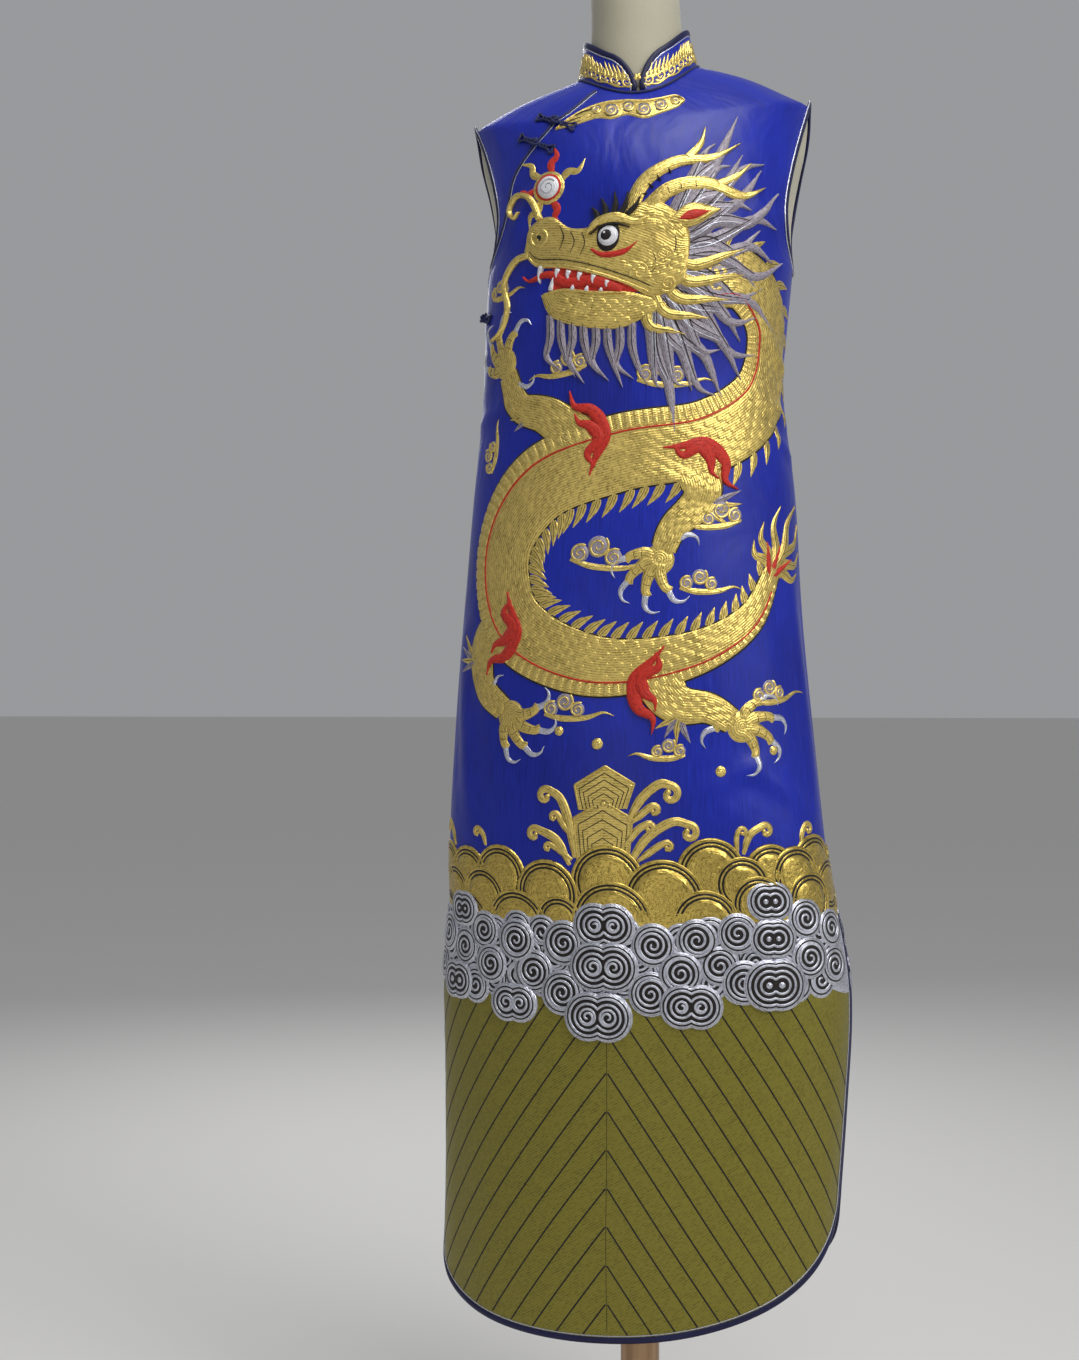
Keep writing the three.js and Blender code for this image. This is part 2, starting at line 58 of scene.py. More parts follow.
cameraView = {
    "azimuth": 5.0,     # degrees round the form
    "height": 0.915,
    "distance": 2.1,
    "left": 0.1095,     # the view's middle lies this far left of the pole
    "lens": 51.0,
}
lightValues = {
    "worldColour": (0.86, 0.87, 0.90),
    "worldStrength": 0.37,
    "floorColour": (0.74, 0.73, 0.71),
    "softboxes": [
        # name, place, aim, size, power
        ("key", (1.7, -1.9, 2.4), (0.0, 0.0, 1.0), 0.9, 27),
        ("top", (0.4, -0.9, 3.1), (0.0, -0.05, 1.45), 1.0, 22),
        ("fill", (1.9, -1.0, 1.2), (0.0, 0.0, 0.9), 1.0, 3),
        ("low", (-0.6, -2.4, 0.7), (0.0, 0.0, 0.5), 1.2, 3),
        ("behind", (-0.6, 2.4, 2.3), (0.0, 0.0, 1.0), 1.4, 28),
    ],
}


def plainMaterial(name, colour, roughness):
    made = bpy.data.materials.new(name)
    made.use_nodes = True
    shader = made.node_tree.nodes["Principled BSDF"]
    shader.inputs["Base Color"].default_value = (*colour, 1)
    shader.inputs["Roughness"].default_value = roughness
    return made


def setStage():
    turn = math.radians(cameraView["azimuth"])
    right = Vector((math.cos(turn), math.sin(turn), 0))
    back = Vector((math.sin(turn), -math.cos(turn), 0))
    place = back * cameraView["distance"] - right * cameraView["left"]
    place.z = cameraView["height"]
    bpy.ops.object.camera_add(location=place, rotation=(math.radians(90), 0, turn))
    camera = bpy.context.object
    camera.data.lens = cameraView["lens"]
    camera.data.sensor_width = 36
    camera.data.dof.use_dof = False
    bpy.context.scene.camera = camera

    for name, spot, aim, size, power in lightValues["softboxes"]:
        way = Vector(aim) - Vector(spot)
        bpy.ops.object.light_add(type="AREA", location=spot,
                                 rotation=way.to_track_quat("-Z", "Y").to_euler())
        lamp = bpy.context.object
        lamp.name = "softbox_" + name
        lamp.data.size = size
        lamp.data.energy = power

    world = bpy.data.worlds.new("studio")
    world.use_nodes = True
    sky = world.node_tree.nodes["Background"]
    sky.inputs["Color"].default_value = (*lightValues["worldColour"], 1)
    sky.inputs["Strength"].default_value = lightValues["worldStrength"]
    bpy.context.scene.world = world
    bpy.context.scene.view_settings.view_transform = "Standard"

    bpy.ops.mesh.primitive_plane_add(size=90, location=(0, 0, 0))
    floor = bpy.context.object
    floor.name = "studio_floor"
    floor.data.materials.append(plainMaterial("floor_paint", lightValues["floorColour"], 0.7))
    floor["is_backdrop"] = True


setStage()
print("camera, lights and floor set")

# The dress's own measures, as in the frame's solids

dress = {
    "clothThick": 0.0015,
    "underarm": 1.356,
    "hem": 0.229,
    "hemTilt": 0.028,
    "hemSwing": 0.050,
    "hemCornerRise": 0.060,
    "slitTop": 0.668,
    "slitSpread": 0.035,
    "turn": math.radians(-12),
    "turnStarts": 1.240,
    "turnEnds": 0.520,
    "tilt": 0.052,
    "tiltStarts": 1.290,
    "tiltEnds": 1.520,
    "neckTilt": 0.045,
    "neckTiltStarts": 1.530,
    "neckTiltEnds": 1.580,
    "tipLevel": 5,
    "neckLevel": 7,
}
swayRows = {
    "height": [0.220, 0.330, 0.420, 0.550, 0.650, 0.740, 0.850, 0.960, 1.120, 1.230, 1.290, 1.340,
               1.400, 1.500, 1.560, 1.620, 1.710],
    "shift": [-0.0040, -0.0030, 0, 0.0030, 0.0010, -0.0060, -0.0085, -0.0095, -0.0070, -0.0080, -0.0050,
              -0.0010, 0.0030, 0.0035, -0.0010, -0.0040, -0.0070],
}
skirtRows = {
    "height": [0.185, 0.340, 0.460, 0.590, 0.685, 0.784, 0.893, 1.002, 1.111, 1.225, 1.300, 1.356],
    "wide": [0.221, 0.218, 0.222, 0.225, 0.212, 0.203, 0.193, 0.183, 0.175, 0.163, 0.164, 0.165],
    "front": [0.112, 0.112, 0.113, 0.115, 0.116, 0.117, 0.117, 0.114, 0.108, 0.106, 0.114, 0.120],
    "back": [0.108, 0.108, 0.110, 0.113, 0.115, 0.118, 0.120, 0.120, 0.110, 0.099, 0.100, 0.104],
}
upperRows = {
    "front": {
        "step": [0, 1, 2, 3, 4, 5, 6, 7],
        "centre": [1.356, 1.384, 1.411, 1.441, 1.472, 1.500, 1.519, 1.536],
        "deep": [0.120, 0.121, 0.120, 0.116, 0.106, 0.092, 0.079, 0.066],
        "edge": [1.356, 1.390, 1.418, 1.452, 1.490, 1.525, 1.553, 1.573],
        "wide": [0.165, 0.156, 0.155, 0.161, 0.171, 0.182, 0.124, 0.064],
        "reach": [0, -0.043, -0.045, -0.037, -0.020, 0, 0, 0],
        "wrap": [90, 75, 72, 72, 75, 80, 85, 90],
        "opening": [0.975, 0.905, 0.84, 0.735, 0.53, 0.37, 0.35, 0.40],
    },
    "back": {
        "step": [0, 1, 2, 3, 4, 5, 6, 7],
        "centre": [1.356, 1.386, 1.416, 1.450, 1.488, 1.520, 1.548, 1.570],
        "deep": [0.104, 0.107, 0.109, 0.108, 0.102, 0.090, 0.074, 0.059],
        "edge": [1.356, 1.390, 1.418, 1.452, 1.490, 1.525, 1.553, 1.573],
        "wide": [0.165, 0.162, 0.165, 0.171, 0.179, 0.182, 0.124, 0.064],
        "reach": [0, -0.024, -0.031, -0.029, -0.016, 0, 0, 0],
        "wrap": [90, 80, 78, 78, 80, 84, 87, 90],
    },
}
skirtFolds = [
    # side, place across, top, half width, depth
    ("front", 0.72, 0.640, 0.13, -0.005),
    ("front", -0.66, 0.600, 0.14, -0.004),
    ("front", 0.22, 0.520, 0.20, 0.003),
    ("back", 0.5, 0.820, 0.16, -0.007),
    ("back", -0.1, 0.900, 0.14, -0.006),
    ("back", -0.62, 0.780, 0.15, -0.007),
]
# Soft creases: side, from (across, height), to (across, height), half width, depth
creaseLines = [
    ("front", (0.62, 1.285), (0.93, 1.235), 0.009, 0.0030),
    ("front", (0.55, 1.215), (0.95, 1.190), 0.008, 0.0026),
    ("front", (0.70, 1.175), (0.97, 1.150), 0.007, 0.0024),
    ("front", (0.45, 0.830), (0.75, 0.790), 0.010, 0.0026),
    ("front", (0.30, 0.800), (0.62, 0.840), 0.008, 0.0018),
    ("front", (-0.92, 1.300), (-0.60, 1.275), 0.009, 0.0028),
    ("front", (-0.95, 1.190), (-0.55, 1.205), 0.008, 0.0024),
    ("front", (-0.80, 0.960), (-0.60, 0.760), 0.012, 0.0026),
    ("front", (0.78, 1.050), (0.90, 0.780), 0.014, 0.0030),
    ("front", (0.05, 1.130), (0.45, 1.105), 0.010, 0.0016),
    ("front", (-0.50, 1.440), (-0.78, 1.400), 0.010, 0.0018),
    ("front", (0.55, 1.440), (0.80, 1.390), 0.010, 0.0020),
    ("back", (-0.70, 1.190), (0.10, 1.170), 0.010, 0.0034),
    ("back", (0.75, 1.210), (0.05, 1.195), 0.010, 0.0034),
    ("back", (-0.55, 1.150), (0.45, 1.140), 0.009, 0.0028),
    ("back", (0.60, 1.300), (0.85, 1.400), 0.012, 0.0026),
    ("back", (-0.60, 1.300), (-0.85, 1.400), 0.012, 0.0026),
    ("back", (0.30, 1.020), (0.38, 0.720), 0.018, 0.0030),
    ("back", (-0.35, 1.010), (-0.40, 0.740), 0.018, 0.0030),
]


def smoothStep(low, high, value):
    share = np.clip((value - low) / (high - low), 0, 1)
    return share * share * (3 - 2 * share)


# Cubic curve through a table's column, with slopes from the neighbours on each side
def curveAt(rows, key, column, at, span=slice(None)):
    keys = np.array(rows[key][span], float)
    values = np.array(rows[column][span], float)
    slopes = np.empty_like(values)
    slopes[1:-1] = (values[2:] - values[:-2]) / (keys[2:] - keys[:-2])
    slopes[0] = (values[1] - values[0]) / (keys[1] - keys[0])
    slopes[-1] = (values[-1] - values[-2]) / (keys[-1] - keys[-2])
    at = np.asarray(at, float)
    low = np.clip(np.searchsorted(keys, at, side="left") - 1, 0, len(keys) - 2)
    gap = keys[low + 1] - keys[low]
    t = np.clip((at - keys[low]) / gap, 0, 1)
    return (values[low] * (2 * t**3 - 3 * t**2 + 1) + values[low + 1] * (3 * t**2 - 2 * t**3)
            + gap * (slopes[low] * (t**3 - 2 * t**2 + t) + slopes[low + 1] * (t**3 - t**2)))


# The armhole edge and the shoulder seam meet in a corner at the shoulder tip
def edgeAt(side, column, level):
    tip = dress["tipLevel"]
    under = curveAt(upperRows[side], "step", column, level, slice(0, tip + 1))
    over = curveAt(upperRows[side], "step", column, level, slice(tip, None))
    return np.where(np.asarray(level) <= tip, under, over)


def hemLine(share):
    share = np.asarray(share, float)
    square = np.minimum(1, share**2)
    return (dress["hem"] + dress["hemTilt"] * share + dress["hemSwing"] * square
            + dress["hemCornerRise"] * (1 - np.sqrt(1 - square)))


def facing(side):
    return -1 if side == "front" else 1


def skirtPoint(side, share, height):
    slit = dress["slitSpread"] * np.maximum(0, dress["slitTop"] - height)
    slit = slit / (dress["slitTop"] - dress["hem"])
    angle = share * (1 - slit) * math.pi / 2
    fold = 0
    for where, across, top, half, depth in skirtFolds:
        if where == side:
            fade = 1 - smoothStep(top - 0.26, top, height)
            fold = fold + depth * fade * np.exp(-((share - across) / half) ** 2)
    deep = curveAt(skirtRows, "height", side, height) + fold
    wide = curveAt(skirtRows, "height", "wide", height)
    return np.stack([wide * np.sin(angle), facing(side) * deep * np.cos(angle),
                     height + 0 * share], axis=-1)


def upperPoint(side, share, level):
    rows = upperRows[side]
    wrap = np.radians(edgeAt(side, "wrap", level))
    angle = share * wrap
    rise = np.sin(share * math.pi / 2) ** 2
    centre = curveAt(rows, "step", "centre", level)
    edge = edgeAt(side, "edge", level)
    inner = (np.cos(angle) - np.cos(wrap)) / (1 - np.cos(wrap))
    deep = curveAt(rows, "step", "deep", level)
    out = deep * inner - edgeAt(side, "reach", level) * (1 - inner)
    return np.stack([edgeAt(side, "wide", level) * np.sin(angle) / np.sin(wrap),
                     facing(side) * out, centre + (edge - centre) * rise], axis=-1)


def levelHeight(share, level):
    low = hemLine(share)
    return low + (dress["underarm"] - low) * (1 + level)


# A point of the cloth before it is turned and tilted; level runs from -1 at the hem
# to 0 at the underarm and 7 at the neckline, share from -1 to 1 across the panel
def plainPoint(side, share, level):
    share, level = np.broadcast_arrays(np.asarray(share, float), np.asarray(level, float))
    lower = skirtPoint(side, share, levelHeight(share, np.minimum(level, 0)))
    upper = upperPoint(side, share, np.maximum(level, 0))
    return np.where((level <= 0)[..., None], lower, upper)


def hang(points):
    z = points[..., 2]
    turn = dress["turn"] * (1 - smoothStep(dress["turnEnds"], dress["turnStarts"], z))
    x = points[..., 0] * np.cos(turn) - points[..., 1] * np.sin(turn)
    y = points[..., 0] * np.sin(turn) + points[..., 1] * np.cos(turn)
    tilt = (dress["tilt"] * smoothStep(dress["tiltStarts"], dress["tiltEnds"], z)
            + dress["neckTilt"] * smoothStep(dress["neckTiltStarts"], dress["neckTiltEnds"], z))
    sway = curveAt(swayRows, "height", "shift", z)
    return np.stack([x + sway, y, z + x * tilt], axis=-1)


def creaseDepth(side, share, height):
    total = 0
    x = share * 0.2
    for where, start, end, half, depth in creaseLines:
        if where != side:
            continue
        a = np.array([start[0] * 0.2, start[1]])
        way = np.array([end[0] * 0.2, end[1]]) - a
        along = np.clip(((x - a[0]) * way[0] + (height - a[1]) * way[1]) / (way @ way), 0, 1)
        off = np.hypot(x - a[0] - along * way[0], height - a[1] - along * way[1])
        total = total + depth * np.sin(np.clip(along, 0.04, 0.96) * math.pi) ** 0.6 * (
            np.exp(-(off / half) ** 2) - 0.35 * np.exp(-((off - 1.8 * half) / half) ** 2))
    return total


# Place and outward normal of the cloth's outer face
def clothAt(side, share, level):
    share, level = np.broadcast_arrays(np.asarray(share, float), np.asarray(level, float))
    step = 0.004
    floor = np.where(level < 0, -1.0, 0.0)
    ceiling = np.where(level < 0, 0.0, dress["neckLevel"])
    plain = plainPoint(side, share, level)
    up = (hang(plainPoint(side, share, np.minimum(ceiling, level + step)))
          - hang(plainPoint(side, share, np.maximum(floor, level - step))))
    along = (hang(plainPoint(side, np.minimum(1, share + step), level))
             - hang(plainPoint(side, np.maximum(-1, share - step), level)))
    normal = np.cross(along, up) * -facing(side)
    normal /= np.maximum(1e-12, np.linalg.norm(normal, axis=-1, keepdims=True))
    crease = creaseDepth(side, share, plain[..., 2])
    edge = smoothStep(1.0, 0.93, np.abs(share)) if side == "back" else smoothStep(1.0, 0.95, np.abs(share))
    return hang(plain) + normal * (crease * edge)[..., None], normal


# Flat pattern of a panel: for each height and each distance from the centre line, measured
# along the cloth, the place, the normal and the share
patternSize = {"low": 0.182, "high": 1.576, "rows": 350, "half": 0.300, "columns": 201}


def flatPattern(side):
    shares = np.linspace(-1, 1, 161)
    heights = np.linspace(patternSize["low"], patternSize["high"], patternSize["rows"])
    steps = np.linspace(0, 7, 281)
    levels = np.empty((len(heights), len(shares)))
    for column, share in enumerate(shares):
        low = float(hemLine(share))
        levels[:, column] = (heights - low) / (dress["underarm"] - low) - 1
        over = heights > dress["underarm"]
        rising = upperPoint(side, np.full(len(steps), share), steps)[:, 2]
        levels[over, column] = np.interp(heights[over], rising, steps)

    def plainAt(share, level, height):
        lower = skirtPoint(side, share, np.minimum(height, dress["underarm"]))
        upper = upperPoint(side, share, np.maximum(level, 0))
        return np.where((height <= dress["underarm"])[..., None], lower, upper)

    tall = np.broadcast_to(heights[:, None], levels.shape)
    wide = np.broadcast_to(shares[None, :], levels.shape)
    plain = plainAt(wide, levels, tall)
    runs = np.cumsum(np.linalg.norm(np.diff(plain, axis=1), axis=-1), axis=1)
    runs = np.concatenate([np.zeros((len(heights), 1)), runs], axis=1)
    runs = runs - runs[:, 80:81]
    across = np.linspace(-patternSize["half"], patternSize["half"], patternSize["columns"])
    sign = 1 if side == "front" else -1      # seen from behind, the pattern runs the other way
    shareAt = np.empty((len(heights), len(across)))
    for row in range(len(heights)):
        shareAt[row] = np.interp(across * sign, runs[row], shares)
    levelAt = np.empty_like(shareAt)
    for row in range(len(heights)):
        levelAt[row] = np.interp(shareAt[row], shares, levels[row])
    tall = np.broadcast_to(heights[:, None], shareAt.shape)
    point = plainAt(shareAt, levelAt, tall)
    hung = hang(point)
    up = np.gradient(hung, axis=0)
    along = hang(plainAt(np.minimum(1, shareAt + 0.004), levelAt, tall)) - hang(
        plainAt(np.maximum(-1, shareAt - 0.004), levelAt, tall))
    normal = np.cross(along, up) * -facing(side)
    normal /= np.maximum(1e-12, np.linalg.norm(normal, axis=-1, keepdims=True))
    edge = smoothStep(1.0, 0.95, np.abs(shareAt))
    hung = hung + normal * (creaseDepth(side, shareAt, tall) * edge)[..., None]
    return np.concatenate([hung, normal, shareAt[..., None]], axis=-1)


patterns = {side: flatPattern(side) for side in ("front", "back")}


def lookUp(side, across, height):
    table = patterns[side]
    row = np.clip((height - patternSize["low"]) / (patternSize["high"] - patternSize["low"])
                  * (patternSize["rows"] - 1), 0, patternSize["rows"] - 1.001)
    column = np.clip((across + patternSize["half"]) / (2 * patternSize["half"])
                     * (patternSize["columns"] - 1), 0, patternSize["columns"] - 1.001)
    r, c = row.astype(int), column.astype(int)
    fr, fc = (row - r)[..., None], (column - c)[..., None]
    return ((table[r, c] * (1 - fc) + table[r, c + 1] * fc) * (1 - fr)
            + (table[r + 1, c] * (1 - fc) + table[r + 1, c + 1] * fc) * fr)


# Place on a panel at a distance across, a height and a lift off the cloth
def onPanel(side):
    def place(across, height, lift):
        found = lookUp(side, np.asarray(across, float), np.asarray(height, float))
        return found[..., :3] + found[..., 3:6] * np.asarray(lift)[..., None]
    return place


onFront, onBack = onPanel("front"), onPanel("back")
print("flat patterns of both panels laid out")

# Meshes from points

madePieces = {}


def newWork():
    return {"points": [], "faces": [], "uvs": [], "count": 0}


# Adds a grid of points (rows, columns, 3); a loop joins its last row or column to its first
def addGrid(work, points, uv=None, rowLoop=False, columnLoop=False, flip=False):
    rows, columns = points.shape[:2]
    if uv is None:
        uv = np.zeros((rows, columns, 2))
    r = np.arange(rows if rowLoop else rows - 1)[:, None]
    c = np.arange(columns if columnLoop else columns - 1)[None, :]
    r1, c1 = (r + 1) % rows, (c + 1) % columns
    corners = [r * columns + c, r1 * columns + c, r1 * columns + c1, r * columns + c1]
    faces = np.stack([np.broadcast_to(x, (r.size, c.size)) for x in corners], axis=-1).reshape(-1, 4)
    if flip:
        faces = faces[:, ::-1]
    work["faces"].append(faces + work["count"])
    work["points"].append(points.reshape(-1, 3))
    work["uvs"].append(np.broadcast_to(uv, (rows, columns, 2)).reshape(-1, 2))
    work["count"] += rows * columns


# Adds many small grids of the same size at once: points (many, rows, columns, 3)
def addGrids(work, points, uv, flip=False):
    many, rows, columns = points.shape[:3]
    r = np.arange(rows - 1)[:, None]
    c = np.arange(columns - 1)[None, :]
    corners = [r * columns + c, (r + 1) * columns + c, (r + 1) * columns + c + 1, r * columns + c + 1]
    faces = np.stack(corners, axis=-1).reshape(-1, 4)
    if flip:
        faces = faces[:, ::-1]
    offsets = np.arange(many)[:, None, None] * rows * columns
    work["faces"].append((faces[None] + offsets).reshape(-1, 4) + work["count"])
    work["points"].append(points.reshape(-1, 3))
    work["uvs"].append(np.broadcast_to(uv, (many, rows, columns, 2)).reshape(-1, 2))
    work["count"] += many * rows * columns


# Makes the object, with its uv map in metres, shaded smooth, riding on the dress
def finishPiece(name, work, material, sharp=None, weld=True):
    points = np.concatenate(work["points"])
    faces = np.concatenate(work["faces"])
    uvs = np.concatenate(work["uvs"])
    mesh = bpy.data.meshes.new(name)
    mesh.from_pydata(points.tolist(), [], [[v for v in face if v >= 0] for face in faces.tolist()])
    layer = mesh.uv_layers.new(name="threads")
    corner = np.empty(len(mesh.loops), dtype=np.int32)
    mesh.loops.foreach_get("vertex_index", corner)
    layer.data.foreach_set("uv", uvs[corner].astype(np.float32).ravel())
    mesh.polygons.foreach_set("use_smooth", np.ones(len(mesh.polygons), dtype=bool))
    mesh.materials.append(material)
    mesh.update()
    piece = bpy.data.objects.new(name, mesh)
    bpy.context.scene.collection.objects.link(piece)
    bpy.ops.object.select_all(action="DESELECT")
    piece.select_set(True)
    bpy.context.view_layer.objects.active = piece
    if weld:
        bpy.ops.object.mode_set(mode="EDIT")
        bpy.ops.mesh.select_all(action="SELECT")
        bpy.ops.mesh.remove_doubles(threshold=0.000004)
        bpy.ops.object.mode_set(mode="OBJECT")
    if sharp is not None:
        bpy.ops.object.shade_smooth_by_angle(angle=math.radians(sharp))
    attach(piece, "root")
    madePieces[name] = piece
    return piece


def unit(vectors):
    return vectors / np.maximum(1e-9, np.linalg.norm(vectors, axis=-1, keepdims=True))


def evenSteps(line, step):
    run = np.concatenate([[0], np.cumsum(np.linalg.norm(np.diff(line, axis=0), axis=1))])
    at = np.linspace(0, run[-1], max(3, int(run[-1] / step) + 1))
    return np.stack([np.interp(at, run, line[:, k]) for k in range(line.shape[1])], axis=1)


# Rounded line through the points, in even steps
def smoothLine(points, step=0.003):
    points = np.asarray(points, float)
    points = np.vstack([2 * points[0] - points[1], points, 2 * points[-1] - points[-2]])
    t = np.linspace(0, 1, 13)[:-1, None]
    parts = [0.5 * (2 * b + (c - a) * t + (2 * a - 5 * b + 4 * c - d) * t**2
                    + (3 * b - a - 3 * c + d) * t**3)
             for a, b, c, d in zip(points, points[1:], points[2:], points[3:])]
    return evenSteps(np.vstack(parts + [points[-2:-1]]), step)


# Round cord along a line in space
def addTube(work, line, radius, sides=8, loop=False, upward=(0, 0, 1)):
    line = np.asarray(line, float)
    along = unit(np.roll(line, -1, axis=0) - np.roll(line, 1, axis=0)) if loop else unit(
        np.gradient(line, axis=0))
    normal = np.empty_like(line)
    first = np.cross(along[0], upward)
    if np.linalg.norm(first) < 0.2:
        first = np.cross(along[0], (1, 0, 0))
    normal[0] = unit(first)
    for index in range(1, len(line)):
        kept = normal[index - 1] - along[index] * (normal[index - 1] @ along[index])
        normal[index] = unit(kept)
    side = np.cross(along, normal)
    turn = np.arange(sides) * 2 * math.pi / sides
    if loop:      # spread the frame's leftover twist so that the ends meet
        last = normal[-1] - along[0] * (normal[-1] @ along[0])
        twist = math.atan2(float(np.cross(unit(last), normal[0]) @ along[0]), float(unit(last) @ normal[0]))
        turn = turn[None, :] + (np.arange(len(line)) / len(line) * twist)[:, None]
    else:
        turn = np.broadcast_to(turn, (len(line), sides))
    radius = np.broadcast_to(np.asarray(radius, float), (len(line),))[:, None, None]
    ring = line[:, None] + radius * (np.cos(turn)[..., None] * normal[:, None]
                                     + np.sin(turn)[..., None] * side[:, None])
    run = np.concatenate([[0], np.cumsum(np.linalg.norm(np.diff(line, axis=0), axis=1))])
    uv = np.stack(np.broadcast_arrays(run[:, None], np.arange(sides)[None, :] * 0.001), axis=-1)
    if not loop:  # closed ends
        start = np.broadcast_to(line[0], (1, sides, 3))
        end = np.broadcast_to(line[-1], (1, sides, 3))
        ring = np.concatenate([start, ring, end])
        uv = np.concatenate([uv[:1], uv, uv[-1:]])
    addGrid(work, ring, uv, rowLoop=loop, columnLoop=True, flip=True)


# Materials. Their patterns read the piece's own uv map, in metres, or Object coordinates.

satinLook = {"colour": (0.007, 0.022, 0.40), "deep": (0.003, 0.010, 0.21), "rough": 0.33,
             "sheen": 0.12, "threadWidth": 0.00045, "slub": 0.10}
bindingLook = {"colour": (0.008, 0.009, 0.062), "deep": (0.004, 0.005, 0.032), "rough": 0.42,
               "sheen": 0.1, "threadWidth": 0.0005, "slub": 0.12}
# In each thread look, bright is the thread's colour as lit and dark is its colour in shade: threadWork paints shade and
# highlight between them
goldLook = {"bright": (0.76, 0.575, 0.165), "dark": (0.27, 0.180, 0.028), "rough": 0.36, "metal": 0.80,
            "threadWidth": 0.0013}
paleGoldLook = {"bright": (0.82, 0.63, 0.19), "dark": (0.44, 0.29, 0.05), "rough": 0.32, "metal": 0.82,
                "threadWidth": 0.0010}
oliveLook = {"bright": (0.240, 0.208, 0.024), "dark": (0.130, 0.112, 0.010), "rough": 0.46, "metal": 0.45,
             "threadWidth": 0.0012}
silverLook = {"bright": (0.62, 0.63, 0.70), "dark": (0.30, 0.30, 0.36), "rough": 0.34, "metal": 0.75,
              "threadWidth": 0.0010}
waveLook = {"bright": (0.62, 0.455, 0.105), "dark": (0.24, 0.168, 0.026), "rough": 0.30, "metal": 0.85,
            "threadWidth": 0.0011}
redLook = {"bright": (0.56, 0.030, 0.016), "dark": (0.30, 0.010, 0.008), "rough": 0.45, "metal": 0.0,
           "threadWidth": 0.0008}
lilacLook = {"bright": (0.33, 0.29, 0.33), "dark": (0.14, 0.115, 0.15), "rough": 0.42, "metal": 0.15,
             "threadWidth": 0.0009}
lineLook = {"bright": (0.016, 0.012, 0.010), "dark": (0.006, 0.005, 0.006), "rough": 0.5, "metal": 0.0,
            "threadWidth": 0.0007}
whiteLook = {"bright": (0.80, 0.80, 0.82), "dark": (0.55, 0.55, 0.60), "rough": 0.4, "metal": 0.1,
             "threadWidth": 0.0008}


def startMaterial(name):
    made = bpy.data.materials.new(name)
    made.use_nodes = True
    tree = made.node_tree
    return made, tree, tree.nodes["Principled BSDF"]


def addNode(tree, kind, inputs=None, **settings):
    node = tree.nodes.new(kind)
    for key, value in settings.items():
        setattr(node, key, value)
    for key, value in (inputs or {}).items():
        if isinstance(value, bpy.types.NodeSocket):
            tree.links.new(value, node.inputs[key])
        else:
            node.inputs[key].default_value = value
    return node


def stretched(tree, source, scale):
    return addNode(tree, "ShaderNodeMapping", {"Vector": source, "Scale": scale}).outputs["Vector"]


def ramp(tree, source, stops):
    node = addNode(tree, "ShaderNodeValToRGB", {"Fac": source})
    while len(node.color_ramp.elements) < len(stops):
        node.color_ramp.elements.new(0.5)
    for element, (place, colour) in zip(node.color_ramp.elements, stops):
        element.position = place
        element.color = (*colour, 1)
    return node.outputs["Color"]


satinWeave = {
    "slowScale": 7.0,
    "streakSize": (900, 30, 1),
    "sheenRoughness": 0.35,
    "sheenTint": (0.55, 0.60, 1.0, 1),
    "specular": 0.34,
    "warpBump": 0.16,
    "weftBump": 0.08,
    "threadDepth": 0.0002,
    "rippleSize": (13, 9, 1),
    "rippleBump": 0.55,
    "rippleDepth": 0.007,
}


# Smooth satin: warp threads down the piece, faint crossing weft, slow changes of colour
def satinCloth(name, look):
    made, tree, shader = startMaterial(name)
    uv = addNode(tree, "ShaderNodeUVMap", uv_map="threads").outputs["UV"]
    thread = 1 / look["threadWidth"]
    warp = addNode(tree, "ShaderNodeTexWave", {"Vector": uv, "Scale": thread / 6.28, "Distortion": 0.6,
                   "Detail": 1.0}, bands_direction="X").outputs["Color"]
    weft = addNode(tree, "ShaderNodeTexWave", {"Vector": uv, "Scale": thread / 5.0, "Distortion": 0.8,
                   "Detail": 1.0}, bands_direction="Y").outputs["Color"]
    slow = addNode(tree, "ShaderNodeTexNoise", {"Vector": uv, "Scale": satinWeave["slowScale"],
                   "Detail": 3.0}).outputs["Fac"]
    streak = addNode(tree, "ShaderNodeTexNoise", {"Vector": stretched(tree, uv, satinWeave["streakSize"]),
                     "Scale": 1.0, "Detail": 2.0}).outputs["Fac"]
    both = addNode(tree, "ShaderNodeMath", {0: slow, 1: streak}, operation="ADD").outputs[0]
    half = addNode(tree, "ShaderNodeMath", {0: both, 1: 0.5}, operation="MULTIPLY").outputs[0]
    tree.links.new(ramp(tree, half, [(0.34, look["deep"]), (0.62, look["colour"])]),
                   shader.inputs["Base Color"])
    rough = addNode(tree, "ShaderNodeMapRange", {"Value": streak, "To Min": look["rough"] - 0.05,
                    "To Max": look["rough"] + look["slub"]}).outputs["Result"]
    tree.links.new(rough, shader.inputs["Roughness"])
    shader.inputs["Sheen Weight"].default_value = look["sheen"]
    shader.inputs["Sheen Roughness"].default_value = satinWeave["sheenRoughness"]
    shader.inputs["Sheen Tint"].default_value = satinWeave["sheenTint"]
    shader.inputs["Specular IOR Level"].default_value = satinWeave["specular"]
    depth = satinWeave["threadDepth"]
    fine = addNode(tree, "ShaderNodeBump", {"Height": warp, "Strength": satinWeave["warpBump"], "Distance": depth})
    cross = addNode(tree, "ShaderNodeBump", {"Height": weft, "Strength": satinWeave["weftBump"], "Distance": depth,
                    "Normal": fine.outputs["Normal"]})
    ripple = addNode(tree, "ShaderNodeTexNoise", {"Vector": stretched(tree, uv, satinWeave["rippleSize"]),
                     "Scale": 1.0, "Detail": 3.0, "Distortion": 0.6}).outputs["Fac"]
    soft = addNode(tree, "ShaderNodeBump", {"Height": ripple, "Strength": satinWeave["rippleBump"],
                   "Distance": satinWeave["rippleDepth"], "Normal": cross.outputs["Normal"]})
    tree.links.new(soft.outputs["Normal"], shader.inputs["Normal"])
    return made
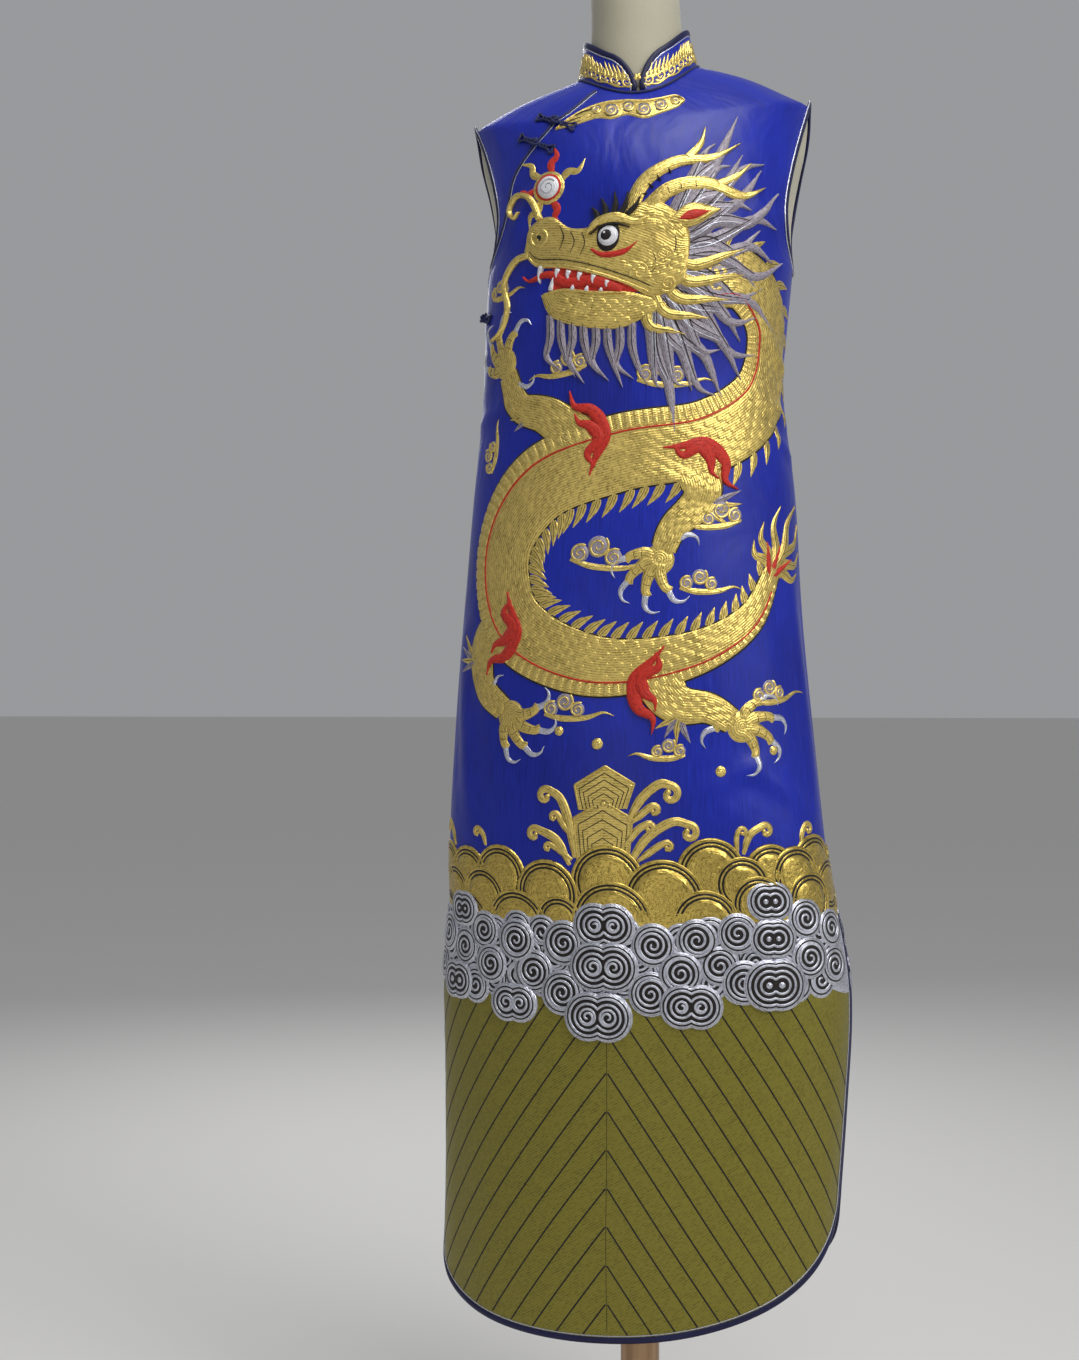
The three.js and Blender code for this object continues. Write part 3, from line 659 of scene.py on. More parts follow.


# Couched thread: threads run along the stitched shape, tied down at short steps; its colour carries painted shade and
# painted highlight
def threadWork(name, look, glintMottle=0.5, tie=0.0035, bump=0.5, crumple=0.0):
    made, tree, shader = startMaterial(name)
    uv = addNode(tree, "ShaderNodeUVMap", uv_map="threads").outputs["UV"]
    rows = addNode(tree, "ShaderNodeTexWave", {"Vector": uv, "Scale": 1 / look["threadWidth"] / 6.28,
                   "Distortion": 0.5, "Detail": 1.0}, bands_direction="Y").outputs["Color"]
    ties = addNode(tree, "ShaderNodeTexVoronoi", {"Vector": stretched(
        tree, uv, (1 / tie, 1 / look["threadWidth"] / 2, 1)), "Scale": 1.0}, feature="F1")
    patchy = addNode(tree, "ShaderNodeTexNoise", {"Vector": uv, "Scale": 55.0, "Detail": 4.0,
                     "Roughness": 0.7}).outputs["Fac"]
    spread = addNode(tree, "ShaderNodeMapRange", {"Value": ties.outputs["Distance"], "From Min": 0.1,
                     "From Max": 0.8}).outputs["Result"]
    mix = addNode(tree, "ShaderNodeMix", {"Factor": glintMottle, "A": spread, "B": patchy},
                  data_type="FLOAT").outputs["Result"]
    # painted shade and highlight: the colour runs from the shaded tone in the grooves between threads and at the ties
    # to the lit tone on the threads, with patches of painted glints
    paintedShadeAndGlint = addNode(tree, "ShaderNodeMath", {0: rows, 1: 0.35, 2: mix}, operation="MULTIPLY_ADD")
    tree.links.new(ramp(tree, paintedShadeAndGlint.outputs[0], [(0.30, look["dark"]), (0.74, look["bright"])]),
                   shader.inputs["Base Color"])
    shader.inputs["Metallic"].default_value = look["metal"]
    rough = addNode(tree, "ShaderNodeMapRange", {"Value": patchy, "From Min": 0.3, "From Max": 0.7,
                    "To Min": look["rough"] - 0.10, "To Max": look["rough"] + 0.14})
    tree.links.new(rough.outputs["Result"], shader.inputs["Roughness"])
    shader.inputs["Sheen Weight"].default_value = 0.1
    lines = addNode(tree, "ShaderNodeBump", {"Height": rows, "Strength": bump, "Distance": 0.0004})
    knots = addNode(tree, "ShaderNodeBump", {"Height": ties.outputs["Distance"], "Strength": bump,
                    "Distance": 0.0004, "Normal": lines.outputs["Normal"]})
    uneven = addNode(tree, "ShaderNodeTexNoise", {"Vector": stretched(tree, uv, (60, 110, 1)), "Scale": 1.0,
                     "Detail": 2.0}).outputs["Fac"]
    creased = addNode(tree, "ShaderNodeBump", {"Height": uneven, "Strength": crumple, "Distance": 0.003,
                      "Normal": knots.outputs["Normal"]})
    shader.inputs["Specular IOR Level"].default_value = 0.5 if look["metal"] else 0.25
    tree.links.new(creased.outputs["Normal"], shader.inputs["Normal"])
    return made


# Cotton jersey stretched over the form
def jersey(name):
    made, tree, shader = startMaterial(name)
    place = addNode(tree, "ShaderNodeTexCoord").outputs["Object"]
    knit = addNode(tree, "ShaderNodeTexVoronoi", {"Vector": stretched(tree, place, (700, 700, 900)),
                   "Scale": 1.0}).outputs["Distance"]
    slow = addNode(tree, "ShaderNodeTexNoise", {"Vector": place, "Scale": 9.0, "Detail": 4.0}).outputs["Fac"]
    tree.links.new(ramp(tree, slow, [(0.3, (0.38, 0.355, 0.255)), (0.7, (0.45, 0.42, 0.31))]),
                   shader.inputs["Base Color"])
    shader.inputs["Roughness"].default_value = 0.8
    shader.inputs["Sheen Weight"].default_value = 0.25
    fine = addNode(tree, "ShaderNodeBump", {"Height": knit, "Strength": 0.3, "Distance": 0.0005})
    tree.links.new(fine.outputs["Normal"], shader.inputs["Normal"])
    return made


# Oiled beech, with its grain along the height or across the base
def turnedWood(name, grainScale):
    made, tree, shader = startMaterial(name)
    place = addNode(tree, "ShaderNodeTexCoord").outputs["Object"]
    grain = addNode(tree, "ShaderNodeTexNoise", {"Vector": stretched(tree, place, grainScale),
                    "Scale": 1.0, "Detail": 6.0, "Roughness": 0.6, "Distortion": 0.4}).outputs["Fac"]
    rings = addNode(tree, "ShaderNodeTexWave", {"Vector": stretched(tree, place, grainScale),
                    "Scale": 0.6, "Distortion": 3.0, "Detail": 3.0}, bands_direction="Y").outputs["Color"]
    mix = addNode(tree, "ShaderNodeMix", {"Factor": 0.2, "A": grain, "B": rings},
                  data_type="FLOAT").outputs["Result"]
    tree.links.new(ramp(tree, mix, [(0.3, (0.30, 0.155, 0.060)), (0.5, (0.48, 0.28, 0.125)),
                                    (0.7, (0.58, 0.37, 0.18))]), shader.inputs["Base Color"])
    rough = addNode(tree, "ShaderNodeMapRange", {"Value": grain, "To Min": 0.32, "To Max": 0.52})
    tree.links.new(rough.outputs["Result"], shader.inputs["Roughness"])
    shader.inputs["Coat Weight"].default_value = 0.15
    shader.inputs["Coat Roughness"].default_value = 0.3
    fine = addNode(tree, "ShaderNodeBump", {"Height": mix, "Strength": 0.2, "Distance": 0.0006})
    tree.links.new(fine.outputs["Normal"], shader.inputs["Normal"])
    return made


blueSatin = satinCloth("blue_satin", satinLook)
navyBinding = satinCloth("navy_binding", bindingLook)
# the cord's bright and dark are its colour lit and in shade, for threadWork's painted shade and highlight
navyCord = threadWork("navy_cord", {"bright": (0.016, 0.022, 0.10), "dark": (0.004, 0.006, 0.035),
                                    "rough": 0.42, "metal": 0.0, "threadWidth": 0.0008}, 0.2, 0.0016)
gold = threadWork("couched_gold", goldLook, 0.7, crumple=0.3)
paleGold = threadWork("pale_gold", paleGoldLook, 0.35)
waveGold = threadWork("wave_gold_satin", waveLook, 0.3, 0.005, 0.15, 0.6)
oliveGold = threadWork("olive_gold_field", oliveLook, 0.6, 0.004, 0.35)
silver = threadWork("couched_silver", silverLook, 0.4)
redSilk = threadWork("red_silk", redLook, 0.3)
lilacSilk = threadWork("lilac_silk", lilacLook, 0.3)
darkSilk = threadWork("dark_outline_silk", lineLook, 0.3)
whiteSilk = threadWork("white_silk", whiteLook, 0.3)
formJersey = jersey("form_jersey")
beechPole = turnedWood("beech_pole", (60, 60, 5))
beechBase = turnedWood("beech_base", (6, 60, 60))
print("materials made")

# Cloth panels, each a thin shell with a turned edge

panelGrid = {"halfColumns": 58, "lowerRows": 132, "upperRows": 49, "seamGap": 0.0003}


def acrossShares(half, spread=0.5):
    even = np.arange(-half, half + 1) / half
    return spread * even + (1 - spread) * np.sin(even * math.pi / 2)


def addCloth(work, points, normals, uv, thick):
    inner = points - normals * thick
    rows, columns = points.shape[:2]
    # one strip of columns runs round the cloth: outer face, edge, inner face, edge
    round_ = np.concatenate([points, inner[:, ::-1]], axis=1)
    uvs = np.concatenate([uv, uv[:, ::-1]], axis=1)
    addGrid(work, round_, uvs, columnLoop=True, flip=True)
    for row, turned in ((0, False), (rows - 1, True)):
        strip = np.stack([points[row], inner[row]])
        addGrid(work, strip, np.stack([uv[row], uv[row]]), flip=not turned)


def trimmed(side, level, gap):
    stretch = np.linalg.norm(hang(plainPoint(side, 1, level)) - hang(plainPoint(side, 0.99, level)),
                             axis=-1) / 0.01
    return 1 - gap / stretch


def openingAt(level):
    return -curveAt(upperRows["front"], "step", "opening", level)


lowerLevels = np.linspace(-1, 0, panelGrid["lowerRows"] + 1)[:-1]
upperLevels = np.linspace(0, 7, panelGrid["upperRows"])


def makePanel(name, side, levels, left, right, shares, flipped):
    low, high = left(levels)[:, None], right(levels)[:, None]
    mix = (shares - shares[0]) / (shares[-1] - shares[0])
    place = low + (high - low) * mix[None, :]
    level = np.broadcast_to(levels[:, None], place.shape)
    points, normals = clothAt(side, place, level)
    uv = np.stack([place * 0.24, plainPoint(side, place, level)[..., 2]], axis=-1)
    work = newWork()
    addCloth(work, points, normals, uv, dress["clothThick"])
    if flipped:
        work["faces"] = [faces[:, ::-1] for faces in work["faces"]]
    return finishPiece(name, work, blueSatin, sharp=50)


allLevels = np.concatenate([lowerLevels, upperLevels])
gap = panelGrid["seamGap"]
frontShares = acrossShares(panelGrid["halfColumns"])
frontPanel = makePanel(
    "front_panel_satin", "front", allLevels,
    lambda level: np.where(level < 0, -trimmed("front", level, gap), openingAt(level)),
    lambda level: trimmed("front", level, gap), frontShares, False)
underlap = makePanel(
    "front_underlap_satin", "front", upperLevels,
    lambda level: -trimmed("front", level, gap),
    lambda level: openingAt(level) - (1 - trimmed("front", level, 2 * gap)),
    np.linspace(-1, 1, 31), False)
backPanel = makePanel(
    "back_panel_satin", "back", allLevels, lambda level: -trimmed("back", level, gap),
    lambda level: trimmed("back", level, gap), frontShares, True)
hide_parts("front_panel")
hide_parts("front_underlap")
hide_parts("back_panel")
print("cloth panels made")

# Bindings: bias strips folded over the edges, and fine silver piping beside them

bindingValues = {
    # across from the edge and out from the cloth's outer face
    "fold": [(0.0058, -0.0019), (0.0030, -0.0022), (0.0004, -0.0021), (-0.0006, -0.0014),
             (-0.0009, -0.0006), (-0.0006, 0.0003), (0.0002, 0.0010), (0.0016, 0.0014),
             (0.0034, 0.0014), (0.0050, 0.0011), (0.0058, 0.0006), (0.0060, -0.0004)],
    "pipingRadius": 0.0007,
    "pipingInset": 0.0070,
    "hemPipingInset": 0.0072,
}


def edgeFrame(points, normals, inward, loop):
    if loop:
        along = unit(np.roll(points, -1, axis=0) - np.roll(points, 1, axis=0))
    else:
        along = unit(np.gradient(points, axis=0))
    across = unit(np.cross(normals, along)) * inward
    return across


def addFold(work, points, normals, inward, loop, section=None):
    across = edgeFrame(points, normals, inward, loop)
    section = np.array(section or bindingValues["fold"])
    ring = (points[:, None] + across[:, None] * section[None, :, :1]
            + normals[:, None] * section[None, :, 1:])
    run = np.concatenate([[0], np.cumsum(np.linalg.norm(np.diff(points, axis=0), axis=1))])
    uv = np.stack(np.broadcast_arrays(section[None, :, 0] + section[None, :, 1], run[:, None]), axis=-1)
    addGrid(work, ring, uv, rowLoop=loop, columnLoop=True, flip=inward < 0)
    if not loop:
        for row, turned in ((0, True), (len(points) - 1, False)):
            middle = ring[row].mean(axis=0)
            cap = np.stack([ring[row], np.broadcast_to(middle, ring[row].shape)])
            addGrid(work, cap, np.stack([uv[row], uv[row]]), columnLoop=True,
                    flip=turned != (inward < 0))
    return across


def armholeEdge(sign):
    levels = np.concatenate([np.linspace(0.10, 0.9, 14)[:-1], np.linspace(0.9, 4.86, 60)])
    frontEdge, frontNormal = clothAt("front", sign, levels)
    backEdge, backNormal = clothAt("back", sign, levels[::-1])
    tip, _ = clothAt("front", sign, np.array([5.0]))
    foot, _ = clothAt("front", sign, np.array([0.0]))
    tipNormal = unit(frontNormal[-1] + backNormal[0])[None]
    footNormal = np.array([[sign, 0.0, 0.0]])
    points = np.concatenate([foot, frontEdge, tip, backEdge])
    normals = np.concatenate([footNormal, frontNormal, tipNormal, backNormal])
    for _ in range(3):   # ease the normals and the line round the tip and the foot
        normals = unit(normals + 0.5 * (np.roll(normals, 1, axis=0) + np.roll(normals, -1, axis=0)))
    return points, normals


def pipingBeside(work, points, normals, across, inset, radius, loop):
    line = points + across * inset + normals * (radius * 0.45)
    addTube(work, line, radius, sides=6, loop=loop)


silverPiping = newWork()
for sign, word in ((-1, "left"), (1, "right")):
    points, normals = armholeEdge(sign)
    work = newWork()
    across = addFold(work, points, normals, sign, True)
    piece = finishPiece("armhole_binding_fold_" + word, work, navyBinding)
    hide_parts("armhole_binding_" + word)
    pipingBeside(silverPiping, points, normals, across, bindingValues["pipingInset"],
                 bindingValues["pipingRadius"], True)

for side in ("front", "back"):
    slitLevels = lowerLevels[(levelHeight(1.0, lowerLevels) < dress["slitTop"]) & (lowerLevels > -1)]
    hemShares = acrossShares(70, 0.4)
    down, downNormal = clothAt(side, -1.0, slitLevels[::-1])
    along, alongNormal = clothAt(side, hemShares, -1.0)
    up, upNormal = clothAt(side, 1.0, slitLevels)
    points = np.concatenate([down, along, up])
    normals = np.concatenate([downNormal, alongNormal, upNormal])
    inward = 1 if side == "front" else -1
    work = newWork()
    across = addFold(work, points, normals, inward, False)
    piece = finishPiece("hem_binding_fold_" + side, work, navyBinding)
    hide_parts("hem_binding_" + side)
    pipingBeside(silverPiping, points, normals, across, bindingValues["hemPipingInset"],
                 bindingValues["pipingRadius"], False)
print("armhole and hem bindings made")

# Collar: a stiffened stand collar, its binding and the piping at its foot

collarValues = {"height": 0.040, "cornerRun": 0.030, "thick": 0.0018, "lean": 0.12, "frontGap": 0.0012,
                "lift": 0.0004}


def collarPlace(angle, rise, out):
    angle, rise, out = np.broadcast_arrays(np.asarray(angle, float), rise, out)
    ahead = np.cos(angle) >= 0
    rows = {side: {key: upperRows[side][key][-1] for key in ("wide", "deep", "centre", "edge")}
            for side in ("front", "back")}
    deep = np.where(ahead, rows["front"]["deep"], rows["back"]["deep"])
    centre = np.where(ahead, rows["front"]["centre"], rows["back"]["centre"])
    edge = rows["front"]["edge"]
    x = rows["front"]["wide"] * np.sin(angle)
    y = np.where(ahead, -1, 1) * deep * np.abs(np.cos(angle))
    z = centre + (edge - centre) * np.sin(angle) ** 2
    shrink = 1 - collarValues["lean"] * rise / collarValues["height"]
    outward = unit(np.stack([x, y, 0 * x], axis=-1))
    place = np.stack([x * shrink, y * shrink, z + collarValues["lift"] + rise], axis=-1)
    lean = collarValues["lean"] * np.hypot(x, y) / collarValues["height"]
    normal = unit(outward + np.stack([0 * x, 0 * x, lean], axis=-1))
    return hang(place + normal * out[..., None]), normal


def collarTop(turn):
    return collarValues["height"] * np.sin(turn)


def collarColumns():
    radius = upperRows["front"]["wide"][-1]
    turn = np.linspace(math.radians(14), math.pi / 2, 22)
    corner = (collarValues["frontGap"] + collarValues["cornerRun"] * (1 - np.cos(turn))) / radius
    middle = np.linspace(corner[-1], 2 * math.pi - corner[-1], 110)[1:-1]
    angles = np.concatenate([corner, middle, 2 * math.pi - corner[::-1]])
    tops = np.concatenate([collarTop(turn), np.full(len(middle), collarValues["height"]),
                           collarTop(turn)[::-1]])
    return angles, tops


collarAngles, collarTops = collarColumns()
rise = collarTops[:, None] * np.linspace(0, 1, 15)[None, :]
outer, outward = collarPlace(collarAngles[:, None], rise, 0.0)
work = newWork()
uv = np.stack(np.broadcast_arrays(collarAngles[:, None] * 0.064, rise), axis=-1)
addCloth(work, outer, outward, uv, collarValues["thick"])
collar = finishPiece("collar_satin", work, blueSatin, sharp=50)
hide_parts("collar")

ends = [collarPlace(collarAngles[index], 0.002, 0.0) for index in (0, -1)]
edge, edgeNormal = collarPlace(collarAngles, collarTops, 0.0)
points = np.concatenate([ends[0][0][None], edge, ends[1][0][None]])
normals = np.concatenate([ends[0][1][None], edgeNormal, ends[1][1][None]])
collarFold = [(across * 0.85, out - (0.0003 if out < -0.001 else 0)) for across, out in bindingValues["fold"]]
work = newWork()
across = addFold(work, points, normals, -1, False, collarFold)
piece = finishPiece("collar_binding_fold", work, navyBinding)
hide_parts("collar_binding")
pipingBeside(silverPiping, points, normals, across, 0.0061, 0.0007, False)

necklineShares = np.linspace(-1, 1, 61)
frontLine, frontOut = clothAt("front", necklineShares, 7.0)
backLine, backOut = clothAt("back", necklineShares[1:-1][::-1], 7.0)
line = np.concatenate([frontLine, backLine])
out = np.concatenate([frontOut, backOut])
down = edgeFrame(line, out, -1, True)
work = newWork()
addTube(work, line + down * 0.0018 + out * 0.0008, 0.0015, loop=True)
piece = finishPiece("neckline_piping_cord", work, navyCord)
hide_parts("neckline_piping")

levels = np.linspace(0.25, 6.72, 90)
line, out = clothAt("front", openingAt(levels), levels)
work = newWork()
addTube(work, line + out * 0.0008, 0.0014)
piece = finishPiece("placket_piping_cord", work, navyCord)
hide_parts("placket_piping")
across = edgeFrame(line, out, -1, False)
addTube(silverPiping, line + across * 0.0021 + out * 0.0004, 0.0006, sides=6)
finishPiece("silver_piping", silverPiping, silver)
print("collar and pipings made")

# Knotted frogs: a loop and a tail of doubled cord, and a ball knot between them

frogValues = {
    "cord": 0.0013,
    "knotRadius": 0.0032,
    "farEnd": [(-0.0065, -0.0014), (-0.0035, -0.0030), (-0.0005, -0.0048), (0.0008, -0.0030), (-0.0004, 0.0),
               (0.0008, 0.0030), (-0.0005, 0.0048), (-0.0035, 0.0030), (-0.0065, 0.0014)],
    "places": [
        # share, level, slope, half length
        (-0.362, 4.98, 26, 0.022),
        (-0.505, 4.12, 30, 0.022),
        (-0.885, -0.045, 14, 0.017),
    ],
}


def flatPlace(side, share, level):
    height = float(plainPoint(side, share, level)[2])
    row = int(round((height - patternSize["low"]) / (patternSize["high"] - patternSize["low"])
                    * (patternSize["rows"] - 1)))
    shares = patterns[side][row, :, 6]
    across = np.linspace(-patternSize["half"], patternSize["half"], patternSize["columns"])
    return float(np.interp(share, shares, across)), height


def makeFrog(number, share, level, slope, half):
    slope = math.radians(slope)
    middle = flatPlace("front", share, level)

    def place(along, aside, lift):
        along, aside = np.asarray(along, float), np.asarray(aside, float)
        x = middle[0] + along * math.cos(slope) + aside * math.sin(slope)
        z = middle[1] - along * math.sin(slope) + aside * math.cos(slope)
        return onFront(x, z, np.asarray(lift, float))

    cordRadius = frogValues["cord"]
    rest = cordRadius + 0.0003
    for word, sign in (("loop", -1), ("tail", 1)):
        work = newWork()
        turn = np.linspace(0, math.pi, 13)
        eye = 0.0042 if sign < 0 else 0.0024
        head = [(0.0062 - math.sin(a) * (eye if sign < 0 else 0.0008), eye * math.cos(a) * 0.62) for a in turn]
        far = smoothLine(np.array(frogValues["farEnd"]) + [half, 0], 0.0009)
        run = np.linspace(0.0085, half - 0.0075, 10)
        loopLine = [*[(x, -0.0014) for x in run], *far, *[(x, 0.0014) for x in run[::-1]], *head]
        flat = np.array(loopLine)
        flat = np.concatenate([flat, flat[:1]])
        flat = evenSteps(flat, 0.0009)[:-1]
        lift = np.full(len(flat), rest)
        near = np.clip((0.0085 - flat[:, 0]) / 0.006, 0, 1)
        lift = lift + near * 0.0010
        addTube(work, place(flat[:, 0] * sign, flat[:, 1], lift), cordRadius, sides=10, loop=True)
        # a wound band holds the two cords together
        for hold in (0.0105, half - 0.0075):
            spin = np.linspace(0, 2 * math.pi, 21)[:-1]
            ring = place(np.full(20, hold) * sign, 0.0029 * np.cos(spin), rest + 0.0019 * np.sin(spin))
            addTube(work, ring, 0.0005, sides=6, loop=True)
        piece = finishPiece("frog_" + str(number) + "_" + word + "_cord", work, navyCord)
        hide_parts("frog_" + str(number) + "_" + word)
    # ball knot: one cord woven over itself round a small ball
    spin = np.linspace(0, 2 * math.pi, 161)[:-1]
    radius = frogValues["knotRadius"]
    ball = np.stack([np.sin(2 * spin) * (1 + 0.35 * np.cos(3 * spin)),
                     np.cos(2 * spin) * (1 + 0.35 * np.cos(3 * spin)), 0.62 * np.sin(3 * spin)], axis=1)
    ball = ball * radius * 0.9
    work = newWork()
    raised = 0.0046
    addTube(work, place(ball[:, 0], ball[:, 1], raised + ball[:, 2]), 0.0013, sides=10, loop=True)
    core = np.linspace(0, math.pi, 9)
    around = np.linspace(0, 2 * math.pi, 17)[:-1]
    x = radius * 0.9 * np.sin(core)[:, None] * np.cos(around)[None, :]
    y = radius * 0.9 * np.sin(core)[:, None] * np.sin(around)[None, :]
    z = radius * 0.9 * np.cos(core)[:, None] + 0 * around[None, :]
    addGrid(work, place(x, y, raised - 0.0006 + z), columnLoop=True)
    piece = finishPiece("frog_" + str(number) + "_knot_cord", work, navyCord)
    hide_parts("frog_" + str(number) + "_knot")


for number, values in enumerate(frogValues["places"], start=1):
    makeFrog(number, *values)
print("frogs made")

# The limbless form under the dress, and its stand

formValues = {
    "bottom": 0.882,
    "easeHeights": [0.870, 1.002, 1.111, 1.225, 1.356],
    "ease": [0.009, 0.004, 0.005, 0.008, 0.003],
    "upperEase": [0.0034, 0.0028, 0.0024, 0.0020, 0.0017, 0.0012, 0.0012, 0.0014],
    "armBulge": 0.005,
    "neck": {
        "row": [0, 1, 2, 3, 4, 5, 6],
        "height": [1.580, 1.597, 1.620, 1.650, 1.692, 1.699, 1.702],
        "dip": [0.034, 0.020, 0.008, 0.002, 0, 0, 0],
        "wide": [0.057, 0.052, 0.049, 0.048, 0.0475, 0.0445, 0.036],
        "front": [0.057, 0.0535, 0.0515, 0.0515, 0.0525, 0.049, 0.041],
        "back": [0.052, 0.0485, 0.046, 0.044, 0.042, 0.0385, 0.030],
    },
}


def formRing(level, ease, flatHeight=None):
    shares = np.linspace(-1, 1, 61)

    def inwards(side, share):
        at = level(share) if callable(level) else np.full(len(share), level)
        plain = hang(plainPoint(side, share, at))
        step = 0.004
        up = (hang(plainPoint(side, share, np.minimum(7, at + step)))
              - hang(plainPoint(side, share, at - step if callable(level) else np.maximum(0, at - step))))
        along = (hang(plainPoint(side, np.minimum(1, share + step), at))
                 - hang(plainPoint(side, np.maximum(-1, share - step), at)))
        normal = unit(np.cross(along, up)) * -facing(side)
        return plain - normal * (dress["clothThick"] + ease)

    front = inwards("front", shares)
    back = inwards("back", shares[::-1])

    def plate(start, end, sign):
        gapWide = np.linalg.norm(end - start)
        t = np.linspace(0, 1, 18)[1:-1]
        points = start + (end - start) * t[:, None]
        points[:, 0] += sign * formValues["armBulge"] * np.sin(t * math.pi) * min(1, gapWide / 0.05)
        return points

    ring = np.concatenate([front, plate(front[-1], back[0], 1), back, plate(back[-1], front[0], -1)])
    if flatHeight is not None:
        ring[:, 2] = flatHeight
    return ring


def makeForm():
    rings = []
    easeTable = {"height": formValues["easeHeights"], "ease": formValues["ease"]}
    for height in np.linspace(formValues["bottom"], dress["underarm"] - 0.012, 40):
        ease = float(curveAt(easeTable, "height", "ease", height))
        rings.append(formRing(lambda share: (height - hemLine(share)) / (
            dress["underarm"] - hemLine(share)) - 1, ease, height if not rings else None))
    upperEase = {"row": list(range(8)), "ease": formValues["upperEase"]}
    for level in np.linspace(0, 7, 57):
        rings.append(formRing(float(level), float(curveAt(upperEase, "row", "ease", level))))
    half, plate = np.radians(np.linspace(-87, 87, 61)), np.radians(np.linspace(87, 93, 18)[1:-1])
    angles = np.concatenate([half, plate, half + math.pi, plate + math.pi])
    ahead = np.maximum(0, np.cos(angles))
    neck = formValues["neck"]
    for row in np.concatenate([np.linspace(0, 4, 25), np.linspace(4, 6, 13)[1:]]):
        value = {key: float(curveAt(neck, "row", key, row)) for key in neck if key != "row"}
        deep = np.where(np.cos(angles) > 0, value["front"], value["back"])
        rings.append(hang(np.stack([value["wide"] * np.sin(angles), -deep * np.cos(angles),
                                    value["height"] - value["dip"] * ahead**2], axis=-1)))
    grid = np.array(rings)
    bottom = grid[0].mean(axis=0)
    low = [bottom + (grid[0] - bottom) * share - np.array([0, 0, 0.0]) for share in (0, 0.35, 0.7, 0.95)]
    crown = grid[-1].mean(axis=0)
    high = [crown + (grid[-1] - crown) * share + np.array([0, 0, (1 - share) * 0.0006])
            for share in (0.85, 0.55, 0.25, 0)]
    grid = np.concatenate([np.array(low), grid, np.array(high)])
    work = newWork()
    addGrid(work, grid, columnLoop=True, flip=True)
    piece = finishPiece("form_torso_jersey", work, formJersey, sharp=55)
    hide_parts("form_torso")
    return piece


form = makeForm()
for name, material in (("stand_pole", beechPole), ("stand_base", beechBase)):
    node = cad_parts[name]
    node.data.materials.clear()
    node.data.materials.append(material)
print("form and stand dressed")

# Embroidery: raised stitched shapes laid on the panels' flat patterns. Places are metres
# across from the panel's centre line and metres above the floor.

threadWorks = {}
edgeRoll = 0.0009     # width over which a stitched edge turns down into the cloth
sunk = -0.0003


def threadsOf(name):
    return threadWorks.setdefault(name, newWork())


# Lays a flat grid (rows, columns, 2) on a surface, facing outwards
def layFlat(work, place, flat, lift, uv, columnLoop=False):
    a = flat[1:, :-1] - flat[:-1, :-1]
    b = flat[:-1, 1:] - flat[:-1, :-1]
    turned = (a[..., 0] * b[..., 1] - a[..., 1] * b[..., 0]).sum() < 0
    points = place(flat[..., 0], flat[..., 1], np.broadcast_to(lift, flat.shape[:2]))
    addGrid(work, points, uv, columnLoop=columnLoop, flip=turned)


def runOf(line):
    return np.concatenate([[0], np.cumsum(np.linalg.norm(np.diff(line, axis=0), axis=1))])


# A line of stitching of changing width, rounded over like couched cord
def stroke(name, place, line, widths, lift=0.0009, dome=0.0004, columns=3, step=0.003, smooth=True,
           closed=False):
    line = np.asarray(line, float)
    line = smoothLine(line, step) if smooth else evenSteps(line, step)
    run = runOf(line)
    along = unit(np.gradient(line, axis=0))
    if closed:
        line[-1] = line[0]
        along[0] = along[-1] = unit(line[1] - line[-2])
    left = np.stack([-along[:, 1], along[:, 0]], axis=1)
    if np.isscalar(widths):
        widths = [widths, widths]
    half = np.maximum(0.0002, np.interp(run / run[-1], np.linspace(0, 1, len(widths)), widths) / 2)
    roll = np.minimum(edgeRoll, half * 0.45)
    t = np.linspace(-1, 1, columns)
    inner = (half - roll)[:, None] * t[None, :]
    off = np.concatenate([-half[:, None], inner, half[:, None]], axis=1)
    height = np.concatenate([[sunk], lift + dome * (1 - t**2), [sunk]])
    height = np.broadcast_to(height, off.shape).copy()
    if not closed:
        height[[0, -1]] = sunk
    flat = line[:, None] + left[:, None] * off[..., None]
    uv = np.stack(np.broadcast_arrays(run[:, None], off), axis=-1)
    layFlat(threadsOf(name), place, flat, height, uv)


# A shape between two lines that share their ends
def patch(name, place, lower, upper, lift=0.0009, dome=0.0004, columns=6, step=0.003, smooth=True):
    shape = smoothLine if smooth else evenSteps
    one, two = shape(np.asarray(lower, float), step), shape(np.asarray(upper, float), step)
    count = max(len(one), len(two))
    at = np.linspace(0, 1, count)
    one, two = (np.stack([np.interp(at, np.linspace(0, 1, len(x)), x[:, k]) for k in (0, 1)], axis=1)
                for x in (one, two))
    wide = np.maximum(1e-5, np.linalg.norm(two - one, axis=1))
    roll = np.minimum(0.45, edgeRoll / wide)[:, None]
    t = np.concatenate([np.zeros((count, 1)), roll + (1 - 2 * roll) * np.linspace(0, 1, columns)[None],
                        np.ones((count, 1))], axis=1)
    flat = one[:, None] * (1 - t)[..., None] + two[:, None] * t[..., None]
    middle = 2 * np.linspace(0, 1, columns) - 1
    height = np.concatenate([[sunk], lift + dome * (1 - middle**2), [sunk]])
    height = np.broadcast_to(height, t.shape).copy()
    height[[0, -1]] = sunk
    uv = np.stack([np.broadcast_to(runOf((one + two) / 2)[:, None], t.shape), t * wide[:, None]], axis=-1)
    layFlat(threadsOf(name), place, flat, height, uv)


